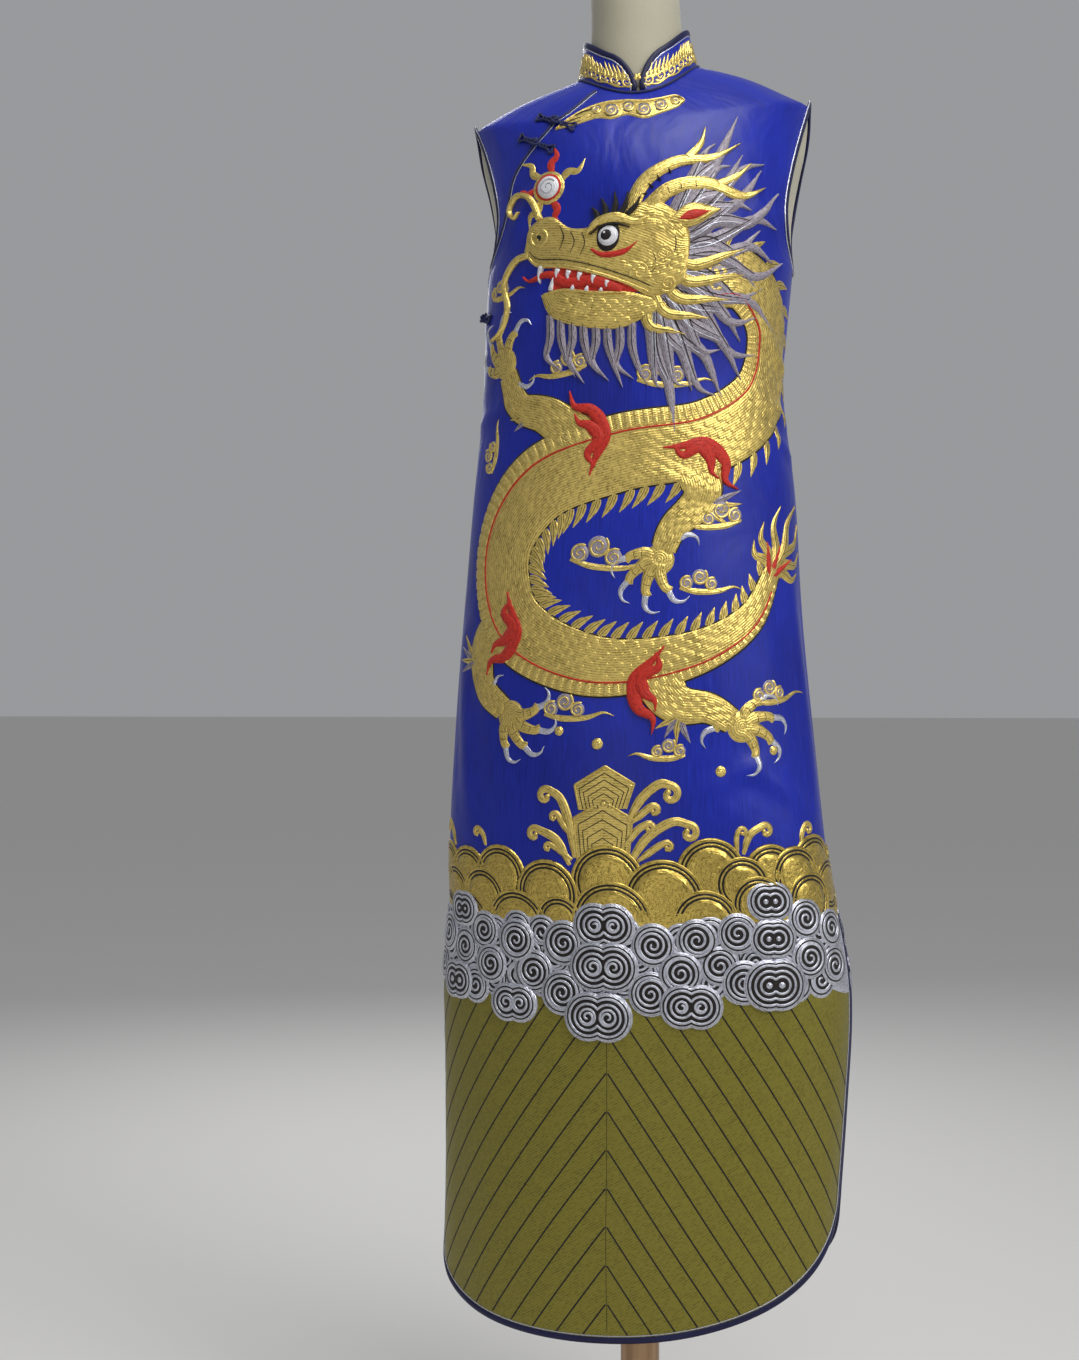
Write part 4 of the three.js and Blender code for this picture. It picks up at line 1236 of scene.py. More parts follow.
# A round or lobed shape from its outline's radius at each angle
def lobed(name, place, middle, radii, lift=0.0009, dome=0.0004, rings=3, low=sunk):
    around = len(radii)
    angle = np.arange(around) / around * 2 * math.pi
    radii = np.asarray(radii)
    roll = min(edgeRoll, radii.min() * 0.3)
    shares = np.linspace(0.02, 1, rings)
    spans = [(radii - roll) * share for share in shares] + [radii]
    flat = np.stack([np.stack([middle[0] + span * np.cos(angle), middle[1] + span * np.sin(angle)], axis=-1)
                     for span in spans])
    height = np.concatenate([lift + dome * (1 - shares**2), [low]])[:, None] * np.ones((1, around))
    uv = np.stack([np.stack([angle * radii.mean(), span], axis=-1) for span in spans])
    layFlat(threadsOf(name), place, flat, height, uv, columnLoop=True)


def disc(name, place, middle, radius, lift=0.0009, dome=0.0004, rings=3, around=28):
    lobed(name, place, middle, np.full(around, radius), lift, dome, rings)


def spiralLine(middle, outer, inner, turns, start, hand):
    t = np.linspace(0, 1, max(12, int(abs(turns) * 30)))
    radius = outer + (inner - outer) * t
    angle = start + hand * turns * 2 * math.pi * t
    return np.stack([middle[0] + radius * np.cos(angle), middle[1] + radius * np.sin(angle)], axis=1)


def moved(points, at, turn=0.0, size=1.0, mirror=False):
    points = np.asarray(points, float) * size
    if mirror:
        points = points * [-1, 1]
    c, s = math.cos(turn), math.sin(turn)
    return points @ np.array([[c, s], [-s, c]]) + np.asarray(at)


# Border: the striped field, the gold waves, the silver clouds, the rock and its sprays.
# across is taken from the pattern's middle line, which lies a little left of the centre.

borderValues = {
    "middle": -0.010,
    "fieldTop": 0.640,
    "fieldLift": 0.0003,
    "stripeGap": 0.0398,
    "stripeDrift": 0.024,
    "stripeWidth": 0.0025,
    "stripeSlope": 1.36,
    "chevronTop": 0.5488,
    "cloudPitch": 0.0058,
    "cloudThread": 0.0042,
    "cloudLine": 0.0016,
    "cloudRim": 0.0030,
    "edgeInset": 0.004,
    "bandInset": 0.008,
    "motifInset": 0.008,
    "waveInset": 0.002,
    # foot, top, ripple and lift of the bands behind the waves and behind the clouds
    "bands": {"wave_gold": (0.636, 0.704, 0.0, 0.0004), "cloud_silver": (0.592, 0.662, 0.006, 0.0005)},
    "bandRippleRate": 60,
    # height and shift of each row of small clouds, and how they are spaced
    "smallRows": ((0.650, 0.0), (0.624, 0.015), (0.600, 0.0)),
    "smallSpacing": 0.030,
    "smallSpan": (-0.232, 0.235),
    "smallRadius": 0.0160,
    "smallLayer": -1.2,
    "smallRipple": 0.005,
    # width of a wave's outer and inner gold ring, and how far in the inner ring and the middle start
    "waveRings": ((0.0, 0.0046), (0.0054, 0.0030)),
    "waveMiddleInset": 0.0092,
    "waveFoot": (0.652, 0.722),
    # lift of the lowest layer and of each layer above it
    "waveLift": (0.0016, 0.0006),
    "cloudLift": (0.0020, 0.0008),
    "seamSpan": (0.60, 0.236),
    "seamWidth": 0.0009,
}
silverClouds = {
    # across, height, radius, layer, and then a pair's spread or the hand of a single one's spiral
    "pairs": [(-0.002, 0.661, 0.0210, 1, 0.47), (-0.003, 0.618, 0.0235, 2, 0.47), (-0.009, 0.566, 0.0232, 3, 0.47),
              (-0.107, 0.574, 0.0180, 2, 0.47), (0.088, 0.580, 0.0205, 2, 0.47), (0.172, 0.687, 0.0175, 1, 0.30),
              (0.173, 0.649, 0.0175, 2, 0.30), (0.174, 0.602, 0.0240, 3, 0.28), (-0.192, 0.590, 0.0180, 2, 0.40),
              (-0.182, 0.668, 0.0165, 1, 0.35)],
    "singles": [(-0.047, 0.641, 0.0215, 0, 1), (-0.049, 0.589, 0.0215, 1, -1), (-0.083, 0.609, 0.0210, 0, 1),
                (-0.103, 0.641, 0.0200, 1, -1), (-0.137, 0.613, 0.0185, 1, 1), (0.049, 0.642, 0.0205, 0, -1),
                (0.077, 0.614, 0.0200, 1, 1), (0.046, 0.592, 0.0210, 0, 1), (0.094, 0.648, 0.0195, 0, -1),
                (0.117, 0.622, 0.0180, 0, 1), (0.136, 0.655, 0.0185, 1, 1), (0.142, 0.605, 0.0205, 1, -1),
                (0.212, 0.668, 0.0185, 0, -1), (0.214, 0.628, 0.0190, 1, 1), (0.248, 0.656, 0.0170, 0, 1),
                (0.248, 0.618, 0.0180, 0, -1), (-0.147, 0.648, 0.0180, 0, -1), (-0.160, 0.588, 0.0175, 0, 1),
                (-0.214, 0.640, 0.0190, 1, 1), (-0.178, 0.628, 0.0180, 0, -1), (-0.228, 0.605, 0.0170, 0, -1),
                (-0.246, 0.650, 0.0180, 0, 1)],
}
goldWaves = {
    # across, height, radius, layer, from the back to the front
    "front": [(-0.122, 0.707, 0.034, 0), (-0.172, 0.703, 0.034, 0), (-0.222, 0.706, 0.034, 0),
              (0.004, 0.705, 0.040, 0), (0.112, 0.717, 0.036, 0), (0.176, 0.716, 0.030, 0),
              (0.234, 0.720, 0.034, 0), (-0.064, 0.692, 0.036, 1), (0.062, 0.688, 0.043, 1),
              (0.144, 0.704, 0.030, 1), (0.206, 0.712, 0.031, 1), (-0.148, 0.684, 0.032, 1),
              (-0.200, 0.684, 0.032, 1), (-0.246, 0.684, 0.030, 1), (0.258, 0.700, 0.028, 1),
              (-0.104, 0.657, 0.038, 2), (-0.052, 0.664, 0.027, 2), (0.006, 0.664, 0.044, 2),
              (0.104, 0.664, 0.036, 2),
              (0.160, 0.684, 0.030, 2), (0.222, 0.686, 0.030, 2), (-0.175, 0.655, 0.034, 2),
              (-0.235, 0.656, 0.032, 2)],
}
goldWaves["back"] = [(x, z + 0.004 * math.cos(40 * x), 0.036, layer)
                     for layer, z, xs in ((0, 0.708, np.arange(-0.24, 0.25, 0.060)),
                                          (1, 0.688, np.arange(-0.21, 0.22, 0.060)),
                                          (2, 0.664, np.arange(-0.24, 0.25, 0.060))) for x in xs]
backClouds = {
    "pairs": [(x, z, 0.0215, layer, 0.47) for x in (-0.18, -0.06, 0.06, 0.18)
              for z, layer in ((0.664, 1), (0.622, 2), (0.580, 3))],
    "singles": [(x + shift, z, 0.019, 0, 1 if shift > 0 else -1) for x in (-0.24, -0.12, 0.0, 0.12, 0.24)
                for shift, z in ((-0.015, 0.652), (0.015, 0.634), (-0.014, 0.606), (0.016, 0.596))],
}


# The waves sink towards their feet, which lie under the clouds
def waveSurface(place):
    def lowered(across, height, lift):
        sink = 0.04 + 0.96 * smoothStep(*borderValues["waveFoot"], np.asarray(height, float))
        return place(across, height, np.asarray(lift) * sink)
    return lowered


# Lift above the satin of a wave or cloud in a layer
def layerLift(kind, layer):
    lowest, step = borderValues[kind + "Lift"]
    return lowest + step * layer


def wave(place, across, height, radius, layer):
    low = layerLift("wave", layer)
    place = waveSurface(place)
    middle = (across, height)
    disc("wave_lines", place, middle, radius, low, 0.0, 3, 40)
    for inset, wide in borderValues["waveRings"]:
        outer = radius - inset
        ring = spiralLine(middle, outer - wide / 2, outer - wide / 2, 1.0, -math.pi / 2, 1)
        stroke("wave_gold", place, ring, wide, low + 0.0002, 0.0002, 3, 0.004, closed=True)
    disc("wave_gold", place, middle, radius - borderValues["waveMiddleInset"], low + 0.0002, 0.0003, 5, 40)


def cloudSingle(place, across, height, radius, layer, hand):
    low = layerLift("cloud", layer)
    pitch, wide = borderValues["cloudPitch"], borderValues["cloudThread"]
    disc("cloud_silver", place, (across, height), radius + borderValues["cloudRim"], low - 0.0003, 0.0002, 3, 32)
    disc("cloud_lines", place, (across, height), radius, low, 0.0, 3, 32)
    outer = radius - borderValues["cloudLine"] - wide / 2
    start = 1.2 + 40 * across + 25 * height
    line = spiralLine((across, height), outer, 0.0008, (outer - 0.0008) / pitch, start, hand)
    stroke("cloud_silver", place, line, [wide] * 6 + [wide * 0.8], low + 0.0003, 0.0005, 3, 0.0018)
    ring = spiralLine((across, height), outer, outer, 1.0, start, hand)
    stroke("cloud_silver", place, ring, wide, low + 0.0002, 0.0005, 3, 0.002, closed=True)


def twinRadii(apart, radius, count=72):
    angle = np.arange(count) / count * 2 * math.pi
    rise = np.minimum(radius * 0.999, apart * np.abs(np.sin(angle)))
    return np.abs(apart * np.cos(angle)) + np.sqrt(radius**2 - rise**2)


def cloudPair(place, across, height, radius, layer, spread):
    low = layerLift("cloud", layer)
    pitch, wide = borderValues["cloudPitch"], borderValues["cloudThread"]
    apart = radius * spread
    middle = (across, height)
    lobed("cloud_silver", place, middle, twinRadii(apart, radius + borderValues["cloudRim"]), low - 0.0003, 0.0002, 4)
    lobed("cloud_lines", place, middle, twinRadii(apart, radius), low, 0.0, 4)
    angle = np.arange(73) / 72 * 2 * math.pi
    outer = radius - borderValues["cloudLine"] - wide / 2
    rings = max(1, math.ceil((outer - 1.1 * apart) / pitch))
    for step in range(rings):
        radii = twinRadii(apart, outer - step * pitch)
        radii = np.concatenate([radii, radii[:1]])
        ring = np.stack([across + radii * np.cos(angle), height + radii * np.sin(angle)], axis=1)
        stroke("cloud_silver", place, ring, wide, low + 0.0003, 0.0005, 3, 0.002, closed=True)
    inner = outer - rings * pitch + 0.0004
    for side in (-1, 1):
        eye = (across + side * apart, height)
        if inner < 0.0045:
            disc("cloud_silver", place, eye, inner + 0.0008, low + 0.0004, 0.0005)
            continue
        line = spiralLine(eye, inner, 0.0006, (inner - 0.0006) / pitch + 0.1, math.pi * (0.5 - 0.5 * side), -side)
        stroke("cloud_silver", place, line, [wide] * 5 + [wide * 0.8], low + 0.0004, 0.0005, 3, 0.0014)
        ring = spiralLine(eye, inner, inner, 1.0, 0.0, 1)
        stroke("cloud_silver", place, ring, wide, low + 0.0003, 0.0005, 3, 0.0016, closed=True)


# Where a panel's two side edges lie at a height, across its flat pattern. The pattern's table ends at
# its own half width, and where that is past the edge, this gives the table's end instead.
def panelEdges(side, height):
    row = int(round((height - patternSize["low"]) / (patternSize["high"] - patternSize["low"])
                    * (patternSize["rows"] - 1)))
    across = np.linspace(-patternSize["half"], patternSize["half"], patternSize["columns"])
    return np.interp([-1, 1], patterns[side][row, :, 6], across)


# A motif near a side edge is set further in, so that it ends before what panelEdges gives
def keptInside(side, across, height, reach, margin):
    low, high = panelEdges(side, height)
    return float(np.clip(across, low + reach + margin, high - reach - margin))


def makeBorder(side, place, waves, clouds):
    middle = borderValues["middle"] if side == "front" else 0.0
    suffix = "_" + side
    # striped field, cut like the panel but inside its binding
    shares = acrossShares(60, 0.4) * 0.988
    steps = np.linspace(0, 1, 64)
    low = hemLine(shares) + borderValues["edgeInset"] * 0.2
    height = low[None, :] + (borderValues["fieldTop"] - low)[None, :] * steps[:, None]
    share = np.broadcast_to(shares[None, :], height.shape)
    level = (height - hemLine(share)) / (dress["underarm"] - hemLine(share)) - 1
    points, normals = clothAt(side, share, level)
    lifts = np.full(height.shape, borderValues["fieldLift"])
    lifts[[0, -1]] = sunk
    lifts[:, [0, -1]] = sunk
    uv = np.stack([share * 0.26 * 0.8 + height * 0.6, height * 0.8 - share * 0.26 * 0.6], axis=-1)
    points = points + normals * lifts[..., None]
    if side == "back":
        points, uv = points[:, ::-1], uv[:, ::-1]
    addGrid(threadsOf("field_olive" + suffix), points, uv, flip=True)
    # dark stripes, meeting in chevrons at the middle
    top = borderValues["chevronTop"] + 9 * borderValues["stripeGap"]
    for number in range(20):
        peak = top - number * borderValues["stripeGap"]
        for way in (-1, 1):
            run = np.linspace(-0.0016, 0.30, 101)
            z = peak - borderValues["stripeSlope"] * run * (1 + 0.35 * run)
            x = middle + borderValues["stripeDrift"] * (0.53 - peak) * (side == "front") + way * run
            found = lookUp(side, x, z)
            kept = ((z < borderValues["fieldTop"] - 0.004) & (np.abs(found[..., 6]) < 0.985)
                    & (z > hemLine(found[..., 6]) + 0.0015) & (z > patternSize["low"] + 0.004))
            if kept.sum() > 3:
                line = np.stack([x, z], axis=1)[kept]
                stroke("stripes" + suffix, place, line, borderValues["stripeWidth"], 0.00055, 0.0002, 2, 0.006)
    seam = np.array([(middle + borderValues["stripeDrift"] * (0.53 - z) * (side == "front"), z)
                     for z in np.linspace(*borderValues["seamSpan"], 40)])
    stroke("stripes" + suffix, place, seam, borderValues["seamWidth"], 0.00045, 0.0001, 2, 0.006)
    # a solid band of gold behind the waves and of silver behind the clouds
    for name, (foot, crest, ripple, lift) in borderValues["bands"].items():
        lines = []
        for height in (foot, crest):
            low, high = panelEdges(side, height) + np.array([1, -1]) * borderValues["bandInset"]
            span = np.linspace(low, high, 60)
            rise = ripple * np.cos(span * borderValues["bandRippleRate"])
            lines.append(np.stack([span, height + rise], axis=1))
        patch(name, place, *lines, lift, 0.0, 8, 0.006)
    for across, height, radius, layer in waves:
        wave(place, keptInside(side, across + middle, height, radius, borderValues["waveInset"]), height, radius, layer)
    # small clouds that fill the gaps between the large ones
    small = borderValues["smallRadius"]
    for row, (z, shift) in enumerate(borderValues["smallRows"]):
        for x in np.arange(*borderValues["smallSpan"], borderValues["smallSpacing"]):
            at = keptInside(side, x + shift, z, small + borderValues["cloudRim"], borderValues["motifInset"])
            rise = borderValues["smallRipple"] * math.cos(borderValues["bandRippleRate"] * x)
            cloudSingle(place, at, z + rise, small, borderValues["smallLayer"], 1 if row % 2 else -1)
    for across, height, radius, layer, hand in clouds["singles"]:
        at = keptInside(side, across + middle, height, radius + borderValues["cloudRim"], borderValues["motifInset"])
        cloudSingle(place, at, height, radius, layer, hand)
    for across, height, radius, layer, spread in clouds["pairs"]:
        reach = radius * (1 + spread) + borderValues["cloudRim"]
        at = keptInside(side, across + middle, height, reach, borderValues["motifInset"])
        cloudPair(place, at, height, radius, layer, spread)


makeBorder("front", onFront, goldWaves["front"], silverClouds)
makeBorder("back", onBack, goldWaves["back"], backClouds)
print("border stitched")


# A curling spray: a stem that ends in a small spiral
def spray(place, points, hand, curl=0.008, wide=0.0065, name="spray_gold", lift=0.0010):
    line = smoothLine(points, 0.003)
    along = unit(line[-1] - line[-3])
    side = np.array([-along[1], along[0]]) * hand
    middle = line[-1] + side * curl
    start = math.atan2(*(line[-1] - middle)[::-1])
    ending = spiralLine(middle, curl, curl * 0.35, 0.8, start, hand)
    stroke(name, place, np.vstack([line, ending[1:]]), [wide * 0.5, wide, wide, wide * 0.8, wide * 0.7],
           lift, 0.0005, 3, 0.0025)
    disc(name, place, tuple(ending[-1]), curl * 0.42, lift + 0.0002, 0.0005)


rockValues = {
    # nested outlines, from the lower rock's foot up
    "lower": [(-0.030, 0.726), (-0.034, 0.772), (-0.003, 0.790), (0.028, 0.772), (0.024, 0.726)],
    "upper": [(-0.028, 0.780), (-0.034, 0.806), (-0.002, 0.826), (0.029, 0.808), (0.021, 0.782)],
    "thread": 0.0015,
    "rings": 5,
}


def rock(place, outline, foot):
    outline = np.array(outline) + [borderValues["middle"] + 0.003, 0]
    middle = np.array([outline[:, 0].mean(), foot])
    lowest = np.array([[outline[0, 0], outline[0, 1]], [outline[-1, 0], outline[-1, 1]]])
    patch("rock_gold", place, lowest, outline, 0.0006, 0.0003, 12, 0.003, smooth=False)
    stroke("rock_gold", place, outline, 0.0030, 0.0010, 0.0004, 3, 0.0015, smooth=False)
    for ring in range(1, rockValues["rings"] + 1):
        size = 1 - ring * 0.16
        line = middle + (outline - middle) * [size, size]
        stroke("rock_lines", place, line, rockValues["thread"], 0.0011, 0.0002, 2, 0.0015, smooth=False)
    disc("rock_gold", place, tuple(middle + [0, 0.005]), 0.0036, 0.0012, 0.0004)


rock(onFront, rockValues["lower"], 0.730)
rock(onFront, rockValues["upper"], 0.782)
sprays = [
    # stem points across and up, side of the curl
    ([(-0.030, 0.730), (-0.036, 0.765), (-0.046, 0.791), (-0.060, 0.801)], 1, 0.0070, 0.0075),
    ([(-0.032, 0.752), (-0.042, 0.764), (-0.049, 0.775)], 1, 0.0045, 0.0055),
    ([(-0.036, 0.722), (-0.050, 0.748), (-0.074, 0.760)], 1, 0.0060, 0.0070),
    ([(-0.033, 0.728), (-0.048, 0.738), (-0.058, 0.744)], 1, 0.0040, 0.0050),
    ([(0.026, 0.768), (0.040, 0.793), (0.058, 0.808), (0.072, 0.806)], -1, 0.0080, 0.0075),
    ([(0.030, 0.768), (0.044, 0.780), (0.050, 0.785)], -1, 0.0050, 0.0060),
    ([(0.022, 0.742), (0.036, 0.760), (0.046, 0.767)], -1, 0.0050, 0.0060),
    ([(0.026, 0.722), (0.046, 0.752), (0.072, 0.769), (0.092, 0.766)], -1, 0.0075, 0.0075),
    ([(0.036, 0.728), (0.058, 0.744), (0.066, 0.748)], -1, 0.0045, 0.0055),
    ([(0.140, 0.735), (0.139, 0.752), (0.141, 0.760)], -1, 0.0045, 0.0045),
    ([(0.146, 0.735), (0.153, 0.755), (0.168, 0.765)], -1, 0.0060, 0.0060),
    ([(0.214, 0.742), (0.217, 0.756), (0.222, 0.763)], -1, 0.0055, 0.0055),
    ([(-0.140, 0.738), (-0.144, 0.750), (-0.150, 0.756)], 1, 0.0045, 0.0050),
    ([(-0.196, 0.735), (-0.205, 0.752), (-0.216, 0.760)], 1, 0.0060, 0.0060),
]
for points, hand, curl, wide in sprays:
    shifted = [(x + borderValues["middle"], z) for x, z in points]
    spray(onFront, shifted, hand, curl * 1.12, wide * 1.4)
for x in (-0.18, -0.06, 0.06, 0.18):
    for way in (-1, 1):
        spray(onBack, [(x + way * 0.004, 0.735), (x + way * 0.012, 0.760), (x + way * 0.026, 0.772)],
              -way, 0.0065, 0.0065)
for across, height, radius in ((-0.018, 0.849, 0.0062), (0.111, 0.821, 0.0060), (-0.060, 0.862, 0.0050),
                               (0.170, 0.842, 0.0050)):
    disc("gold_dots", onFront, (across, height), radius, 0.0010, 0.0010)
print("rock and sprays stitched")

# The dragon: a plain traditional one with a winding body, drawn for this dress

dragonValues = {
    "body": [(0.060, 1.322), (0.118, 1.330), (0.160, 1.285), (0.150, 1.215), (0.085, 1.168), (-0.010, 1.150),
             (-0.098, 1.118), (-0.142, 1.050), (-0.118, 0.972), (-0.030, 0.930), (0.065, 0.938),
             (0.135, 0.975), (0.168, 1.035)],
    "bodyWidths": [0.056, 0.064, 0.070, 0.076, 0.080, 0.082, 0.082, 0.078, 0.072, 0.064, 0.052, 0.038, 0.022],
    "scalePitch": 0.0082,
    "scaleWide": 0.0118,
    "finPitch": 0.0185,
    "finLong": 0.024,
    "bellyShare": 0.24,
    "head": (-0.012, 1.340),
    "headSize": 0.00128,
    "headTurn": math.radians(-8),
    "legs": [
        # line from the shoulder to the wrist, paw direction in degrees, mirrored paw
        ([(-0.030, 1.150), (-0.085, 1.190), (-0.122, 1.204), (-0.140, 1.240)], 112, False),
        ([(0.060, 1.160), (0.078, 1.108), (0.050, 1.074), (0.040, 1.050)], -112, True),
        ([(-0.118, 0.985), (-0.160, 0.950), (-0.156, 0.908), (-0.128, 0.884)], -28, True),
        ([(0.030, 0.932), (0.060, 0.892), (0.096, 0.886), (0.122, 0.872)], -18, False),
    ],
    "legWidths": [0.054, 0.046, 0.034, 0.027],
    "pearl": (-0.098, 1.432),
    "relief": 0.55,
}


# Rows of overlapping scales along a line; each is a small shield with a raised lower rim
def scalesAlong(name, place, line, widths, pitch, wide, lift, cover=(-0.92, 0.92)):
    run = runOf(line)
    along = unit(np.gradient(line, axis=0))
    made, grids, uvs = 0, [], []
    rows = np.array([-0.60, -0.15, 0.30, 0.52, 0.66])
    spans = np.array([0.46, 0.56, 0.50, 0.34, 0.10])
    lifts = np.array([0.0, 0.0003, 0.0008, 0.0010, 0.0001])
    for number, at in enumerate(np.arange(pitch, run[-1] - pitch * 0.4, pitch)):
        share = at / run[-1]
        half = np.interp(share, np.linspace(0, 1, len(widths)), widths) / 2
        low, high = cover[0] * half, cover[1] * half
        count = max(1, int(round((high - low) / wide)))
        size = (high - low) / count
        centres = low + size * (np.arange(count) + 0.5)
        if number % 2:
            centres = low + size * np.arange(1, count)
        middle = np.array([np.interp(at, run, line[:, k]) for k in (0, 1)])
        way = unit(np.array([np.interp(at, run, along[:, k]) for k in (0, 1)]))
        left = np.array([-way[1], way[0]])
        for centre in centres:
            a = rows * pitch * 1.55
            b = np.array([-1, -0.55, 0, 0.55, 1])[None, :] * spans[:, None] * size
            flat = middle + way * a[:, None, None] + left * (centre + b)[..., None]
            grids.append(flat)
            uvs.append(np.stack(np.broadcast_arrays((at + a)[:, None], centre + b), axis=-1))
            made += 1
    if not made:
        return
    flat = np.array(grids)
    bow = 0.0003 * (1 - np.array([-1, -0.55, 0, 0.55, 1]) ** 2)
    height = np.broadcast_to(lift + lifts[:, None] + bow[None, :], flat.shape[:3]).copy()
    height[:, :, [0, -1]] = lift - 0.0004
    height[:, -1] = lift - 0.0003
    height[:, 0] = lift - 0.0002
    points = place(flat[..., 0], flat[..., 1], height)
    addGrids(threadsOf(name), points, np.array(uvs))


# One tapering tongue, with a dark thread down its middle
def tongue(name, place, points, wide, lift=0.0010, vein=None, dome=0.0006):
    stroke(name, place, points, [wide * 0.55, wide, wide * 0.85, wide * 0.5, 0.0004], lift, dome, 3, 0.0022)
    if vein:
        stroke(vein, place, smoothLine(points, 0.002)[1:-2], [0.0004, 0.0012, 0.0003], lift + dome + 0.0001,
               0.0002, 2, 0.003, smooth=False)


def finsAlong(name, place, line, widths, side, pitch, long):
    run = runOf(line)
    along = unit(np.gradient(line, axis=0))
    for number, at in enumerate(np.arange(pitch * 1.2, run[-1] - pitch * 0.3, pitch)):
        half = np.interp(at / run[-1], np.linspace(0, 1, len(widths)), widths) / 2
        middle = np.array([np.interp(at, run, line[:, k]) for k in (0, 1)])
        way = unit(np.array([np.interp(at, run, along[:, k]) for k in (0, 1)]))
        left = np.array([-way[1], way[0]]) * side
        reach = long * (0.55 + 0.9 * half / 0.04 * 0.5)
        base = middle + left * (half - 0.004)
        points = [base - way * 0.006, base + left * reach * 0.5 + way * 0.001,
                  base + left * reach + way * reach * 0.55]
        tongue(name, place, points, 0.0105, 0.0007, "dragon_lines")


def paw(place, at, turn, mirror, size=1.0):
    turn = math.radians(turn)

    def put(points):
        return moved(points, at, turn - math.pi / 2, size, mirror)

    disc("dragon_gold", place, tuple(put([(0, 0.004)])[0]), 0.0165 * size, 0.0016, 0.0012)
    toes = [(-66, 0.036), (-30, 0.042), (4, 0.043), (38, 0.038), (158, 0.026)]
    for number, (angle, long) in enumerate(toes):
        a = math.radians(angle)
        way = np.array([math.sin(a), math.cos(a)])
        bend = np.array([way[1], -way[0]]) * (1 if angle < 90 else -1)
        points = [way * 0.006, way * long * 0.45 - bend * 0.004, way * long * 0.85 - bend * 0.002,
                  way * long + bend * 0.004]
        stroke("dragon_gold", place, put(points), [0.0125 * size, 0.0135 * size, 0.0105 * size, 0.0085 * size],
               0.0018 + number * 0.0001, 0.0010, 4, 0.0022)
        claw = [way * long * 0.94, way * (long + 0.010) + bend * 0.004, way * (long + 0.014) + bend * 0.013,
                way * (long + 0.010) + bend * 0.021]
        stroke("dragon_claws", place, put(claw), [0.0072 * size, 0.0062 * size, 0.0040 * size, 0.0004],
               0.0017, 0.0009, 3, 0.0018)
        for knuckle in (0.5, 0.72):
            centre = way * long * knuckle - bend * 0.003
            mark = [centre - bend * 0.005, centre + way * 0.0015, centre + bend * 0.005]
            stroke("dragon_lines", place, put(mark), 0.0009, 0.0031, 0.0002, 2, 0.0015)


def leg(place, line, direction, mirror):
    widths = dragonValues["legWidths"]
    path = smoothLine(line, 0.003)
    stroke("dragon_lines", place, path, [w + 0.0022 for w in widths], 0.0010, 0.0, 6, 0.003, smooth=False)
    stroke("dragon_gold", place, path, widths, 0.0014, 0.0010, 8, 0.003, smooth=False)
    scalesAlong("dragon_scales", place, path, widths, 0.0072, 0.0098, 0.0026, (-0.86, 0.86))
    # red flames off the shoulder and a tuft at the elbow
    start, elbow = path[0], path[int(len(path) * 0.52)]
    way = unit(path[8] - path[0])
    side = np.array([-way[1], way[0]]) * (-1 if mirror else 1)
    for number, (spread, long) in enumerate(((1.0, 0.066), (0.55, 0.048))):
        points = [start + side * 0.026 * spread - way * 0.006, start + side * 0.008 + way * 0.010 * number,
                  start - side * 0.020 * spread + way * 0.008, start - side * 0.031 * spread + way * long * 0.5,
                  start - side * 0.024 * spread + way * long * 0.78, start - side * 0.034 * spread + way * long]
        stroke("dragon_red", place, points, [0.002, 0.009, 0.014, 0.015, 0.009, 0.0004], 0.0054 + number * 0.0004,
               0.0006, 4, 0.0022)
    bend = unit(elbow - (path[0] + path[-1]) / 2)
    for number, fan in enumerate((-0.6, -0.2, 0.2, 0.6)):
        c, s = math.cos(fan), math.sin(fan)
        out = np.array([bend[0] * c - bend[1] * s, bend[0] * s + bend[1] * c])
        base = elbow + bend * 0.010
        tongue("dragon_mane" if number % 2 else "dragon_gold", place,
               [base, base + out * 0.016 + [0, 0.002], base + out * 0.036 + [0.004, 0.006]],
               0.0085, 0.0012 + number * 0.0001, "dragon_lines")
    paw(place, path[-1] + unit(path[-1] - path[-4]) * 0.008, direction, mirror)


